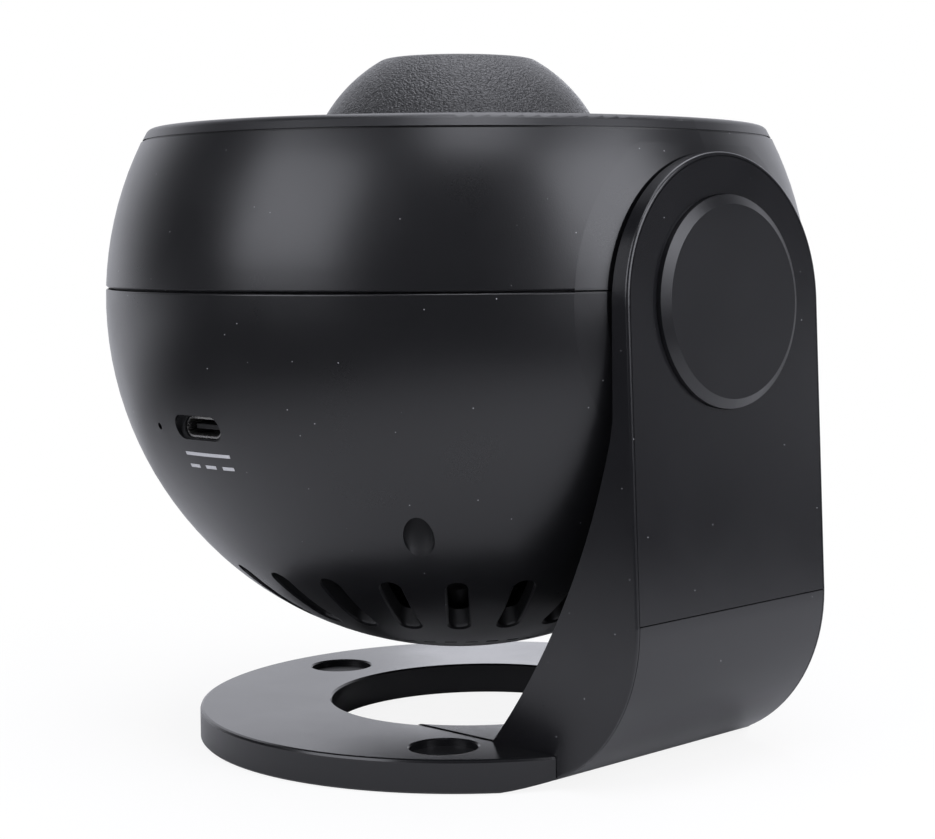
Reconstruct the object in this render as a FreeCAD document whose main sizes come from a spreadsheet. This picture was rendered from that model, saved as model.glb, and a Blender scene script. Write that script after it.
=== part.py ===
import FreeCAD, Part
import math
import os
import Sketcher

# Planetarium projector: a globe that turns in a single upright arm on a flat ring base.
# Millimetres. +Z is up, the arm stands towards +X, the power port faces -Y.
# The origin lies on the table, under the middle of the object's bounding box.
# Globe pieces are drawn about the globe's centre, stand pieces about the point of the table under it.

# Driving sizes

SIZES = {
    # globe shells
    "globe_radius": 60.0,
    "globe_centre_height": 74.3,
    "shell_wall": 2.2,
    "seam_height": 2.05,
    "seam_gap": 0.25,
    "seam_chamfer": 0.3,
    "seam_lip_height": 1.6,
    "seam_lip_width": 1.0,
    "side_flat_distance": 55.4,
    "side_plate_thickness": 2.2,
    "hub_radius": 11.0,
    "hub_length": 7.4,
    "hub_gap": 0.2,
    "rim_height": 26.4,
    "rim_flange_width": 6.4,
    "rim_flange_thickness": 2.0,
    # rim bezel and top deck
    "bezel_height": 2.3,
    "bezel_width": 3.1,
    "bezel_edge_round": 1.5,
    "rim_groove_height": 0.35,
    "rim_groove_depth": 0.5,
    "bezel_foot_width": 1.2,
    "bezel_foot_thickness": 0.8,
    "deck_gap": 0.2,
    "deck_thickness": 1.8,
    "clip_width": 8.0,
    "clip_thickness": 0.9,
    "clip_hook": 0.7,
    "clip_hook_height": 0.9,
    # focus dome
    "dome_radius": 26.6,
    "dome_sphere_height": 17.5,
    "dome_top_height": 40.8,
    "dome_wall": 2.1,
    "dome_edge_round": 3.0,
    "dome_skirt_depth": 1.9,
    "dome_window_radius": 9.3,
    "sleeve_wall": 1.7,
    # vents, ports and screw bores in the lower shell
    "vent_inner_radius": 28.6,
    "vent_outer_radius": 41.5,
    "vent_width": 3.35,
    "vent_chamfer": 0.3,
    "vent_belt_wall": 0.6,
    "vent_belt_margin": 1.6,
    "pole_slit_radius": 20.0,
    "pole_slit_step": 5.0,
    "pole_slit_length": 2.1,
    "pole_slit_width": 1.05,
    "port_drop": 18.85,
    "port_offset": 0.6,
    "port_recess_width": 11.0,
    "port_recess_height": 3.9,
    "port_recess_floor": 55.7,
    "port_hole_width": 9.3,
    "port_hole_height": 3.5,
    "pin_hole_radius": 0.55,
    "pin_hole_offset": 10.25,
    "pin_hole_drop": 19.2,
    "screw_circle_radius": 48.5,
    "screw_bore_radius": 2.4,
    "screw_column_wall": 1.8,
    "screw_seat_drop": 6.0,
    # stand arm
    "arm_half_width": 23.1,
    "arm_gap": 1.0,
    "arm_top_thickness": 2.35,
    "arm_lean": 2.2,
    "arm_corner_radius": 27.2,
    "arm_corner_height": 26.8,
    "arm_flare_radius": 121.0,
    "arm_flare_top": 54.4,
    "arm_flare_top_inset": 0.5,
    "arm_flare_blend": 3.1,
    "arm_flare_foot": 30.6,
    "arm_side_wall": 2.0,
    "arm_inner_wall": 1.4,
    "arm_lip": 0.6,
    "arm_edge_round": 0.45,
    "cover_thickness": 1.4,
    "cover_gap": 0.12,
    "cover_seam_height": 27.0,
    "cover_seam_gap": 0.15,
    "arm_hollow_gap": 0.8,
    # arm foot
    "foot_half_width": 22.4,
    "foot_thickness": 2.4,
    "foot_heel_distance": 38.2,
    "foot_gap": 0.1,
    "foot_step": 0.15,
    "foot_root_distance": 40.5,
    # pivot
    "cap_radius": 16.5,
    "cap_face_radius": 15.0,
    "cap_height": 1.62,
    "cap_edge_height": 0.75,
    "cap_wall": 2.0,
    "cap_face_wall": 1.4,
    "cap_gap": 0.1,
    "pivot_shank_radius": 3.0,
    "pivot_head_radius": 6.0,
    "pivot_head_thickness": 1.7,
    "pivot_fit": 0.05,
    "pivot_washer_radius": 9.0,
    "pivot_washer_gap": 0.05,
    "spring_washer_radius": 6.6,
    "spring_washer_thickness": 0.9,
    "spring_washer_dish": 0.27,
    "nut_width": 10.0,
    "nut_thickness": 4.0,
    "pivot_end_length": 0.8,
    # base ring
    "ring_centre_distance": 3.1,
    "ring_radius": 47.3,
    "ring_hole_radius": 25.05,
    "ring_height": 5.4,
    "ring_edge_bevel": 0.5,
    "ring_lift": 0.15,
    "ring_chamfer": 0.3,
    "dimple_radius": 5.4,
    "dimple_depth": 1.25,
    "dimple_edge": 0.25,
    "dimple_back_distance": 32.9,
    "dimple_side_distance": 27.0,
    "dimple_side_offset": 30.3,
    "mat_thickness": 0.8,
    "mat_margin": 2.9,
    "foot_screw_distance": 34.5,
    "foot_screw_outer_offset": 17.0,
    "foot_screw_inner_offset": 6.0,
    "foot_screw_radius": 1.2,
    "foot_screw_length": 5.0,
    "foot_screw_head_radius": 2.4,
    "foot_screw_head_height": 1.1,
    # screws and small clearances
    "screw_radius": 1.5,
    "screw_head_radius": 2.1,
    "screw_head_height": 1.8,
    "shell_screw_length": 15.0,
    "small_screw_radius": 1.0,
    "small_screw_head_radius": 1.8,
    "small_screw_head_height": 1.0,
    "small_screw_length": 5.0,
    "fit_gap": 0.1,
    "running_gap": 0.3,
    # optics
    "frame_seat_height": 1.0,
    "frame_thickness": 2.0,
    "frame_margin": 4.3,
    "frame_hole_radius": 19.4,
    "frame_notch_gap": 1.0,
    "collar_radius": 22.7,
    "collar_height": 3.4,
    "carrier_lift": 0.3,
    "carrier_ledge_width": 1.0,
    "carrier_ledge_thickness": 0.6,
    "disc_radius": 25.0,
    "disc_thickness": 1.2,
    "carrier_lip_height": 0.5,
    "gear_face": 4.0,
    "gear_module": 1.0,
    "gear_backlash": 0.16,
    "pinion_shaft_radius": 1.0,
    "motor_radius": 7.0,
    "motor_length": 14.0,
    "motor_ear_distance": 10.0,
    "motor_ear_radius": 2.8,
    "motor_ear_thickness": 1.0,
    "lamp_tube_radius": 18.4,
    "lamp_tube_wall": 3.4,
    "lamp_tube_length": 16.8,
    "lamp_flange_radius": 23.5,
    "lamp_flange_thickness": 2.0,
    "condenser_drop": 7.0,
    "condenser_edge": 1.5,
    "condenser_crown": 5.0,
    "condenser_ledge": 1.4,
    "lamp_board_thickness": 1.6,
    "lamp_side": 5.0,
    "lamp_height": 1.2,
    "lamp_dome_radius": 2.0,
    "sink_base": 3.0,
    "sink_fin_height": 12.0,
    "sink_fin_thickness": 1.2,
    "sink_screw_length": 8.0,
    "guide_height": 18.0,
    "guide_flange_thickness": 2.0,
    "guide_flange_radius": 43.0,
    "guide_post_circle": 40.0,
    "guide_post_radius": 3.0,
    "guide_tube_radius": 16.7,
    "guide_tube_wall": 1.7,
    "guide_tube_height": 11.0,
    "guide_slot_width": 4.0,
    "barrel_wall": 1.5,
    "barrel_bottom": 19.6,
    "barrel_shoulder": 30.6,
    "barrel_top": 38.4,
    "barrel_neck_radius": 8.7,
    "barrel_neck_wall": 1.1,
    "barrel_travel": 2.0,
    "lug_width": 3.4,
    "lug_height": 2.0,
    "lug_height_above": 25.4,
    "front_lens_crown": 2.6,
    "rear_lens_crown": 3.0,
    "lens_edge": 1.6,
    # fan
    "fan_side": 40.0,
    "fan_height": 10.0,
    "fan_bottom_drop": 46.5,
    "fan_bore_radius": 18.8,
    "fan_hub_radius": 11.0,
    "fan_blade_gap": 0.8,
    "fan_plate": 1.6,
    "fan_hole_offset": 16.0,
    "fan_strut_width": 2.4,
    "fan_axle_radius": 1.0,
    # main board
    "board_thickness": 1.6,
    "board_radius": 43.4,
    "board_hole_radius": 22.4,
    "board_tab_width": 20.0,
    "board_tab_reach": 50.5,
    "board_post_circle": 39.4,
    "board_post_radius": 2.5,
    "chip_side": 6.0,
    "chip_height": 1.2,
    # power port
    "port_shell_width": 8.94,
    "port_shell_height": 3.2,
    "port_shell_length": 7.3,
    "port_shell_wall": 0.3,
    "port_tongue_width": 6.7,
    "port_tongue_height": 0.7,
    "port_tongue_length": 5.0,
    "status_lamp_width": 3.0,
    "status_lamp_height": 2.4,
    "status_lamp_length": 4.0,
    # deck buttons
    "button_radius": 3.6,
    "button_hole_radius": 3.9,
    "button_proud": 0.4,
    "button_flange_radius": 4.8,
    "button_flange_thickness": 0.8,
    "button_travel": 0.3,
    "button_spacing": 12.5,
    "button_row_distance": 37.0,
    "switch_side": 6.0,
    "switch_height": 3.4,
    "switch_stem_radius": 1.7,
    "switch_stem_height": 0.5,
    "button_board_length": 44.0,
    "button_board_width": 9.6,
    "button_post_radius": 2.4,
    "overrun": 5.0,
}

# Counts and angles in degrees

VENT_COUNT = 24
POLE_SLIT_COUNTS = (36, 27, 18)
CARRIER_TEETH = 60
PINION_TEETH = 15
PRESSURE_ANGLE = 20.0
ADDENDUM_SHARE = 0.85
DEDENDUM_SHARE = 1.15
FLANK_STEPS = 3
SHELL_SCREW_ANGLES = (51.5, 128.5, 231.5, 308.5)
BOARD_POST_ANGLES = (52.5, 127.5, 232.5, 307.5)
GUIDE_POST_ANGLES = (30.0, 180.0, 330.0)
SINK_SCREW_ANGLES = (90.0, 210.0, 330.0)
CLIP_ANGLES = (0.0, 90.0, 180.0, 270.0)
BUTTON_POST_SHARE = 1.6
LUG_ANGLES = (0.0, 120.0, 240.0)
MOTOR_ANGLE = 120.0
FAN_BLADES = 7
FAN_BLADE_PITCH = 38.0
BLADE_CHORD_SHARE = 1.25
STRUT_ANGLES = (30.0, 150.0, 270.0)
CHIP_ANGLES = (200.0, 225.0, 0.0, 25.0, 160.0)
FIN_COUNT = 9

doc = FreeCAD.newDocument("Projector")
sheet = doc.addObject("Spreadsheet::Sheet", "Sizes")
for row, (alias, number) in enumerate(SIZES.items(), start=1):
    sheet.set("A%d" % row, alias.replace("_", " "))
    sheet.set("B%d" % row, repr(number))
    sheet.setAlias("B%d" % row, alias)
doc.recompute()


# Lengths that know their sheet expression

class Length:
    def __init__(self, value, text):
        self.value = value
        self.text = text

    def __add__(self, other):
        other = as_length(other)
        return Length(self.value + other.value, "(%s + %s)" % (self.text, other.text))

    def __sub__(self, other):
        other = as_length(other)
        return Length(self.value - other.value, "(%s - %s)" % (self.text, other.text))

    def __mul__(self, other):
        other = as_length(other)
        return Length(self.value * other.value, "(%s * %s)" % (self.text, other.text))

    def __truediv__(self, other):
        other = as_length(other)
        return Length(self.value / other.value, "(%s / %s)" % (self.text, other.text))

    def __neg__(self):
        return Length(-self.value, "(-1 * %s)" % self.text)

    __radd__ = __add__
    __rmul__ = __mul__


def as_length(number):
    if isinstance(number, Length):
        return number
    return Length(float(number), "(%.9f)" % number)


def leg(hypotenuse, other):
    square = hypotenuse * hypotenuse - other * other
    return Length(math.sqrt(square.value), "sqrt(%s)" % square.text)


def turn_x(distance, angle):
    return distance * math.cos(math.radians(angle))


def turn_y(distance, angle):
    return distance * math.sin(math.radians(angle))


class Sheet:
    def __getattr__(self, alias):
        return Length(float(sheet.get(alias)), "Sizes.%s" % alias)


S = Sheet()
ZERO = as_length(0)
# how much of a round edge two bevels leave standing at its middle
ROUND_SHARE = 1 - 1 / math.sqrt(2)
ALONG_X = FreeCAD.Rotation(FreeCAD.Vector(0, 1, 0), 90)
ALONG_Y = FreeCAD.Rotation(FreeCAD.Vector(1, 0, 0), -90)


# Building blocks

def bind(thing, property_name, length):
    length = as_length(length)
    if "Sizes" in length.text:
        thing.setExpression(property_name, length.text)


def place(thing, x=ZERO, y=ZERO, z=ZERO, rotation=None):
    spots = [as_length(value) for value in (x, y, z)]
    base = FreeCAD.Vector(*[spot.value for spot in spots])
    thing.Placement = FreeCAD.Placement(base, rotation or FreeCAD.Rotation())
    for axis, spot in zip("xyz", spots):
        bind(thing, "Placement.Base." + axis, spot)
    return thing


def block(name, size_x, size_y, size_z, x=ZERO, y=ZERO, z=ZERO, rotation=None):
    thing = doc.addObject("Part::Box", name)
    for side, length in (("Length", size_x), ("Width", size_y), ("Height", size_z)):
        setattr(thing, side, as_length(length).value)
        bind(thing, side, length)
    return place(thing, x, y, z, rotation)


def rod(name, radius, height, x=ZERO, y=ZERO, z=ZERO, rotation=None):
    thing = doc.addObject("Part::Cylinder", name)
    for side, length in (("Radius", radius), ("Height", height)):
        setattr(thing, side, as_length(length).value)
        bind(thing, side, length)
    return place(thing, x, y, z, rotation)


def ball(name, radius, z=ZERO):
    thing = doc.addObject("Part::Sphere", name)
    thing.Radius = as_length(radius).value
    bind(thing, "Radius", radius)
    return place(thing, ZERO, ZERO, z)


def joined(name, things):
    if len(things) == 1:
        return things[0]
    thing = doc.addObject("Part::MultiFuse", name)
    thing.Shapes = things
    return thing


def shared(name, things):
    thing = doc.addObject("Part::MultiCommon", name)
    thing.Shapes = things
    return thing


def without(name, base, tools):
    thing = doc.addObject("Part::Cut", name)
    thing.Base = base
    thing.Tool = joined(name + "Tools", tools)
    return thing


def group(name, things):
    thing = doc.addObject("Part::Compound", name)
    thing.Links = things
    return thing


def origin_plane(body, role):
    for feature in body.Origin.OriginFeatures:
        if feature.Role == role:
            return feature
    raise ValueError(role)


def arc_between(start, end, radius, turn):
    middle = (start + end) * 0.5
    chord = end - start
    rise = math.sqrt(max(radius * radius - chord.Length * chord.Length / 4, 0.0))
    across = FreeCAD.Vector(-chord.y, chord.x, 0)
    across.normalize()
    centre = middle + across * (rise * turn)
    first, last = (start, end) if turn > 0 else (end, start)
    angle_first = math.atan2(first.y - centre.y, first.x - centre.x)
    angle_last = math.atan2(last.y - centre.y, last.x - centre.x)
    if angle_last <= angle_first:
        angle_last += 2 * math.pi
    circle = Part.Circle(centre, FreeCAD.Vector(0, 0, 1), radius)
    return Part.ArcOfCircle(circle, angle_first, angle_last)


# A corner is (x, y), or (x, y, radius, turn) where an arc leads to the next corner:
# turn is 1 where the arc runs anticlockwise and -1 where it runs clockwise.

def outline(body, name, plane, corners):
    sketch = body.newObject("Sketcher::SketchObject", name)
    sketch.AttachmentSupport = [(origin_plane(body, plane), "")]
    sketch.MapMode = "FlatFace"
    spots = [(as_length(corner[0]), as_length(corner[1])) for corner in corners]
    points = [FreeCAD.Vector(x.value, y.value, 0) for x, y in spots]
    tags = []
    for index, corner in enumerate(corners):
        start = points[index]
        end = points[(index + 1) % len(corners)]
        if len(corner) == 2:
            sketch.addGeometry(Part.LineSegment(start, end), False)
            tags.append((1, 2))
        else:
            radius = as_length(corner[2])
            sketch.addGeometry(arc_between(start, end, radius.value, corner[3]), False)
            tags.append((1, 2) if corner[3] > 0 else (2, 1))
    for index, corner in enumerate(corners):
        following = (index + 1) % len(corners)
        sketch.addConstraint(
            Sketcher.Constraint("Coincident", index, tags[index][1], following, tags[following][0]))
    for index, (x, y) in enumerate(spots):
        for kind, spot, axis in (("DistanceX", x, -2), ("DistanceY", y, -1)):
            if "Sizes" not in spot.text and spot.value == 0:
                sketch.addConstraint(
                    Sketcher.Constraint("PointOnObject", index, tags[index][0], axis))
                continue
            number = sketch.addConstraint(
                Sketcher.Constraint(kind, -1, 1, index, tags[index][0], spot.value))
            bind(sketch, "Constraints[%d]" % number, spot)
    for index, corner in enumerate(corners):
        if len(corner) > 2:
            radius = as_length(corner[2])
            number = sketch.addConstraint(Sketcher.Constraint("Radius", index, radius.value))
            bind(sketch, "Constraints[%d]" % number, radius)
    return sketch


def turned(name, corners):
    body = doc.addObject("PartDesign::Body", name)
    sketch = outline(body, name + "Profile", "XZ_Plane", corners)
    feature = body.newObject("PartDesign::Revolution", name + "Turn")
    feature.Profile = sketch
    feature.ReferenceAxis = (sketch, ["V_Axis"])
    feature.Angle = 360
    return body


def padded(name, plane, corners, length, both_sides=False):
    body = doc.addObject("PartDesign::Body", name)
    sketch = outline(body, name + "Profile", plane, corners)
    feature = body.newObject("PartDesign::Pad", name + "Pad")
    feature.Profile = sketch
    feature.Length = as_length(length).value
    bind(feature, "Length", length)
    if both_sides:
        feature.SideType = "Symmetric"
    return body


def ring_pocket(body, name, corners, count):
    sketch = outline(body, name + "Profile", "XY_Plane", corners)
    pocket = body.newObject("PartDesign::Pocket", name + "Pocket")
    pocket.Profile = sketch
    pocket.Type = "ThroughAll"
    pattern = body.newObject("PartDesign::PolarPattern", name + "Ring")
    pattern.Originals = [pocket]
    pattern.Axis = (sketch, ["N_Axis"])
    pattern.Angle = 360
    pattern.Occurrences = count
    body.Tip = pattern


def slot_block(name, width, height, length, x, y, z):
    # a flat-sided slot with round ends, along Y
    half = height / 2
    straight = width - height
    left = x - straight / 2
    return joined(name, [
        block(name + "Middle", straight, length, height, left, y, z - half),
        rod(name + "Left", half, length, left, y, z, ALONG_Y),
        rod(name + "Right", half, length, left + straight, y, z, ALONG_Y),
    ])


def screw(name, radius, length, head_radius, head_height, x, y, z, up=True):
    # z is where the head meets the clamped face; the shank runs up from there, or down
    shank_z = z if up else z - length
    head_z = z - head_height if up else z
    return joined(name, [
        rod(name + "Shank", radius, length, x, y, shank_z),
        rod(name + "Head", head_radius, head_height, x, y, head_z),
    ])


def cross(name, width, depth, x, y, z):
    # a crossed driver recess
    thin = width / 4
    return [
        block(name + "A", width, thin, depth, x - width / 2, y - thin / 2, z),
        block(name + "B", thin, width, depth, x - thin / 2, y - width / 2, z),
    ]


def eased(name, base, wanted, size, kind="Part::Chamfer"):
    # wanted tells from an edge's middle point whether the edge is broken
    doc.recompute()
    thing = doc.addObject(kind, name)
    thing.Base = base
    edges = []
    for number, edge in enumerate(base.Shape.Edges, start=1):
        middle = edge.valueAt((edge.FirstParameter + edge.LastParameter) / 2)
        if wanted(middle):
            edges.append((number, size.value, size.value))
    thing.Edges = edges
    return thing


NODES = []


def node(thing, label, in_globe=True, x=ZERO, y=ZERO, z=ZERO, rotation=None):
    thing.Label = label
    base_z = S.globe_centre_height + z if in_globe else as_length(z)
    place(thing, FRAME_SHIFT + x, y, base_z, rotation)
    NODES.append(thing)
    return thing


# Values worked out from the driving sizes

CAP_REACH = S.side_flat_distance + S.arm_gap + S.arm_top_thickness + S.cap_height
ARM_INNER = S.side_flat_distance + S.arm_gap
ARM_OUTER_TOP = ARM_INNER + S.arm_top_thickness
ARM_OUTER_FOOT = ARM_OUTER_TOP + S.arm_lean
ARM_TOP = S.globe_centre_height + S.arm_half_width
ARM_TOP_OVER = ARM_TOP + S.overrun
LEAN_RATIO = S.arm_lean / (ARM_TOP - S.arm_corner_height)
LEAN_ANGLE = math.degrees(math.atan(LEAN_RATIO.value))
CORNER_CENTRE = ARM_OUTER_FOOT - S.arm_corner_radius


def arm_outer_at(height):
    return ARM_OUTER_FOOT - LEAN_RATIO * (as_length(height) - S.arm_corner_height)


CAP_SEAT = arm_outer_at(S.globe_centre_height)
FRAME_SHIFT = (S.globe_radius - CAP_SEAT - S.cap_height) / 2
INNER_RADIUS = S.globe_radius - S.shell_wall
UPPER_START = S.seam_height + S.seam_gap
LIP_INNER_TOP = S.seam_height + S.seam_lip_height
RIM_RADIUS = leg(S.globe_radius, S.rim_height)
BEZEL_INNER = RIM_RADIUS - S.bezel_width
DECK_RADIUS = BEZEL_INNER - S.deck_gap
DECK_TOP = S.rim_height + S.deck_thickness
FRAME_TOP = S.frame_seat_height + S.frame_thickness
PORT_BOTTOM = -S.port_drop - S.port_shell_height / 2
BOARD_TOP = PORT_BOTTOM
BOARD_BOTTOM = BOARD_TOP - S.board_thickness
FAN_BOTTOM = -S.fan_bottom_drop
COLUMN_RADIUS = S.screw_bore_radius + S.screw_column_wall
GUIDE_TOP = S.guide_height + S.guide_flange_thickness
SEAT_RADIUS = S.arm_corner_radius - S.cover_thickness
HEEL_X = CORNER_CENTRE + leg(S.arm_corner_radius, S.arm_corner_height - S.ring_lift)


# Globe shells

def side_plate(name):
    # the flat wall that closes the globe beside the arm
    disc = rod(name + "Disc", S.globe_radius, S.side_plate_thickness,
               S.side_flat_distance - S.side_plate_thickness, ZERO, ZERO, ALONG_X)
    return shared(name, [disc, ball(name + "Ball", S.globe_radius)])


def beyond_flat(name):
    return block(name, S.globe_radius, S.globe_radius * 2, S.globe_radius * 2,
                 S.side_flat_distance, -S.globe_radius, -S.globe_radius)


def screw_spots(circle, angles):
    return [(turn_x(circle, angle), turn_y(circle, angle)) for angle in angles]


def on_vent_edge(point):
    # the edges that the vents leave in the globe's outer face
    near = S.fit_gap.value
    away = math.hypot(point.x, point.y)
    outside = abs(point.Length - S.globe_radius.value) < near and point.z < 0
    return outside and S.vent_inner_radius.value - near < away < S.vent_outer_radius.value + near


def lower_shell():
    inner_top = leg(INNER_RADIUS, LIP_INNER_TOP)
    edge_height = S.seam_height - S.seam_chamfer
    edge_radius = leg(S.globe_radius - S.seam_chamfer, edge_height)
    edge_share = S.globe_radius / (S.globe_radius - S.seam_chamfer)
    lip_outer = inner_top + S.seam_lip_width
    belt = INNER_RADIUS - S.vent_belt_wall
    belt_out = S.vent_outer_radius + S.vent_belt_margin
    belt_in = S.vent_inner_radius - S.vent_belt_margin
    bowl = turned("LowerBowl", [
        (ZERO, -S.globe_radius, S.globe_radius, 1),
        (edge_radius * edge_share, edge_height * edge_share, S.seam_chamfer, 1),
        (edge_radius, S.seam_height),
        (lip_outer, S.seam_height),
        (lip_outer, LIP_INNER_TOP),
        (inner_top, LIP_INNER_TOP, INNER_RADIUS, -1),
        (belt_out, -leg(INNER_RADIUS, belt_out)),
        (belt_out, -leg(belt, belt_out), belt, -1),
        (belt_in, -leg(belt, belt_in)),
        (belt_in, -leg(INNER_RADIUS, belt_in), INNER_RADIUS, -1),
        (ZERO, -INNER_RADIUS),
    ])
    half = S.vent_width / 2
    ring_pocket(bowl, "Vent", [
        (S.vent_inner_radius + half, -half),
        (S.vent_outer_radius - half, -half, half, 1),
        (S.vent_outer_radius, ZERO, half, 1),
        (S.vent_outer_radius - half, half),
        (S.vent_inner_radius + half, half, half, 1),
        (S.vent_inner_radius, ZERO, half, 1),
    ], VENT_COUNT)
    for index, count in enumerate(POLE_SLIT_COUNTS):
        near = S.pole_slit_radius - S.pole_slit_step * index - S.pole_slit_width / 2
        far = near + S.pole_slit_width
        side = S.pole_slit_length / 2
        ring_pocket(bowl, "PoleSlit%d" % index,
                    [(near, -side), (far, -side), (far, side), (near, side)], count)
    bevelled = eased("LowerBowlBevelled", bowl, on_vent_edge, S.vent_chamfer)
    plate_low = without("LowerPlate", side_plate("LowerPlateDisc"), [
        block("LowerPlateTop", S.globe_radius, S.globe_radius * 2, S.globe_radius,
              ZERO, -S.globe_radius, S.seam_height)])
    trimmed = without("LowerBowlTrimmed", bevelled, [
        beyond_flat("LowerBeyond"),
        block("LowerLipTrim", S.globe_radius, S.globe_radius, S.globe_radius,
              S.side_flat_distance - S.side_plate_thickness - S.seam_lip_width,
              S.globe_radius / -2, S.seam_height)])
    hub = rod("Hub", S.hub_radius, S.hub_length, S.side_flat_distance - S.hub_length,
              ZERO, ZERO, ALONG_X)
    posts = []
    for index, (x, y) in enumerate(screw_spots(S.screw_circle_radius, SHELL_SCREW_ANGLES)):
        posts.append(rod("LowerColumn%d" % index, COLUMN_RADIUS,
                         S.globe_radius + S.frame_seat_height, x, y, -S.globe_radius))
    for index, (x, y) in enumerate(screw_spots(S.board_post_circle, BOARD_POST_ANGLES)):
        posts.append(rod("BoardPost%d" % index, S.board_post_radius,
                         S.globe_radius + BOARD_BOTTOM, x, y, -S.globe_radius))
    for index, (sign_x, sign_y) in enumerate(((1, 1), (-1, 1), (-1, -1), (1, -1))):
        posts.append(rod("FanPost%d" % index, S.board_post_radius, S.globe_radius + FAN_BOTTOM,
                         S.fan_hole_offset * sign_x, S.fan_hole_offset * sign_y, -S.globe_radius))
    inside = shared("LowerPosts", [
        joined("LowerPostsAll", posts),
        ball("LowerPostLimit", S.globe_radius - S.shell_wall / 2)])
    solid = joined("LowerSolid", [trimmed, plate_low, hub, inside])
    cuts = [
        slot_block("PortRecess", S.port_recess_width, S.port_recess_height, S.globe_radius,
                   S.port_offset, -S.port_recess_floor - S.globe_radius, -S.port_drop),
        slot_block("PortHole", S.port_hole_width, S.port_hole_height, S.shell_wall * 3,
                   S.port_offset, -S.port_recess_floor - S.shell_wall, -S.port_drop),
        rod("PinHole", S.pin_hole_radius, S.shell_wall * 5, -S.pin_hole_offset,
            -S.globe_radius, -S.pin_hole_drop, ALONG_Y),
        rod("HubBore", S.pivot_shank_radius + S.pivot_fit, S.hub_length + S.overrun * 2,
            S.side_flat_distance - S.hub_length - S.overrun, ZERO, ZERO, ALONG_X),
    ]
    for index, (x, y) in enumerate(screw_spots(S.screw_circle_radius, SHELL_SCREW_ANGLES)):
        cuts.append(rod("ScrewBore%d" % index, S.screw_bore_radius,
                        S.globe_radius - S.screw_seat_drop, x, y, -S.globe_radius))
        cuts.append(rod("ScrewHole%d" % index, S.screw_radius + S.fit_gap,
                        S.globe_radius, x, y, -S.globe_radius / 2))
    for index, (x, y) in enumerate(screw_spots(S.board_post_circle, BOARD_POST_ANGLES)):
        cuts.append(rod("BoardPilot%d" % index, S.small_screw_radius, S.small_screw_length,
                        x, y, BOARD_TOP - S.small_screw_length))
    for index, (sign_x, sign_y) in enumerate(((1, 1), (-1, 1), (-1, -1), (1, -1))):
        cuts.append(rod("FanPilot%d" % index, S.small_screw_radius, S.small_screw_length,
                        S.fan_hole_offset * sign_x, S.fan_hole_offset * sign_y,
                        FAN_BOTTOM + S.fan_plate - S.small_screw_length))
    node(without("LowerShell", solid, cuts), "lower_shell")


def upper_shell():
    # the lower edge is set back, so that the lower shell's rounded rim stands in the light
    start = UPPER_START + S.seam_chamfer
    start_radius = leg(S.globe_radius, start)
    rebate = leg(INNER_RADIUS, LIP_INNER_TOP) + S.seam_lip_width + S.fit_gap
    rebate_top = LIP_INNER_TOP + S.fit_gap
    flange_low = S.rim_height - S.rim_flange_thickness
    flange_in = RIM_RADIUS - S.rim_flange_width
    bowl = turned("UpperBowl", [
        (start_radius - S.seam_chamfer, UPPER_START),
        (start_radius, start, S.globe_radius, 1),
        (RIM_RADIUS, S.rim_height),
        (flange_in, S.rim_height),
        (flange_in, flange_low),
        (leg(INNER_RADIUS, flange_low), flange_low, INNER_RADIUS, -1),
        (leg(INNER_RADIUS, rebate_top), rebate_top),
        (rebate, rebate_top),
        (rebate, UPPER_START),
    ])
    plate = without("UpperPlate", side_plate("UpperPlateDisc"), [
        block("UpperPlateLow", S.globe_radius, S.globe_radius * 2, S.globe_radius,
              ZERO, -S.globe_radius, UPPER_START - S.globe_radius),
        block("UpperPlateHigh", S.globe_radius, S.globe_radius * 2, S.globe_radius,
              ZERO, -S.globe_radius, flange_low)])
    trimmed = without("UpperBowlTrimmed", bowl, [beyond_flat("UpperBeyond")])
    columns = []
    for index, (x, y) in enumerate(screw_spots(S.screw_circle_radius, SHELL_SCREW_ANGLES)):
        columns.append(rod("UpperColumn%d" % index, COLUMN_RADIUS,
                           flange_low + S.rim_flange_thickness / 2 - FRAME_TOP, x, y, FRAME_TOP))
    inside = shared("UpperPosts", [
        joined("UpperPostsAll", columns),
        ball("UpperPostLimit", S.globe_radius - S.shell_wall / 2)])
    solid = joined("UpperSolid", [trimmed, plate, inside])
    cuts = [rod("HubClearance", S.hub_radius + S.hub_gap, S.globe_radius,
                S.globe_radius / 2, ZERO, ZERO, ALONG_X)]
    for index, (x, y) in enumerate(screw_spots(S.screw_circle_radius, SHELL_SCREW_ANGLES)):
        cuts.append(rod("UpperPilot%d" % index, S.screw_radius, S.shell_screw_length,
                        x, y, -S.screw_seat_drop))
    node(without("UpperShell", solid, cuts), "upper_shell")


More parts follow.
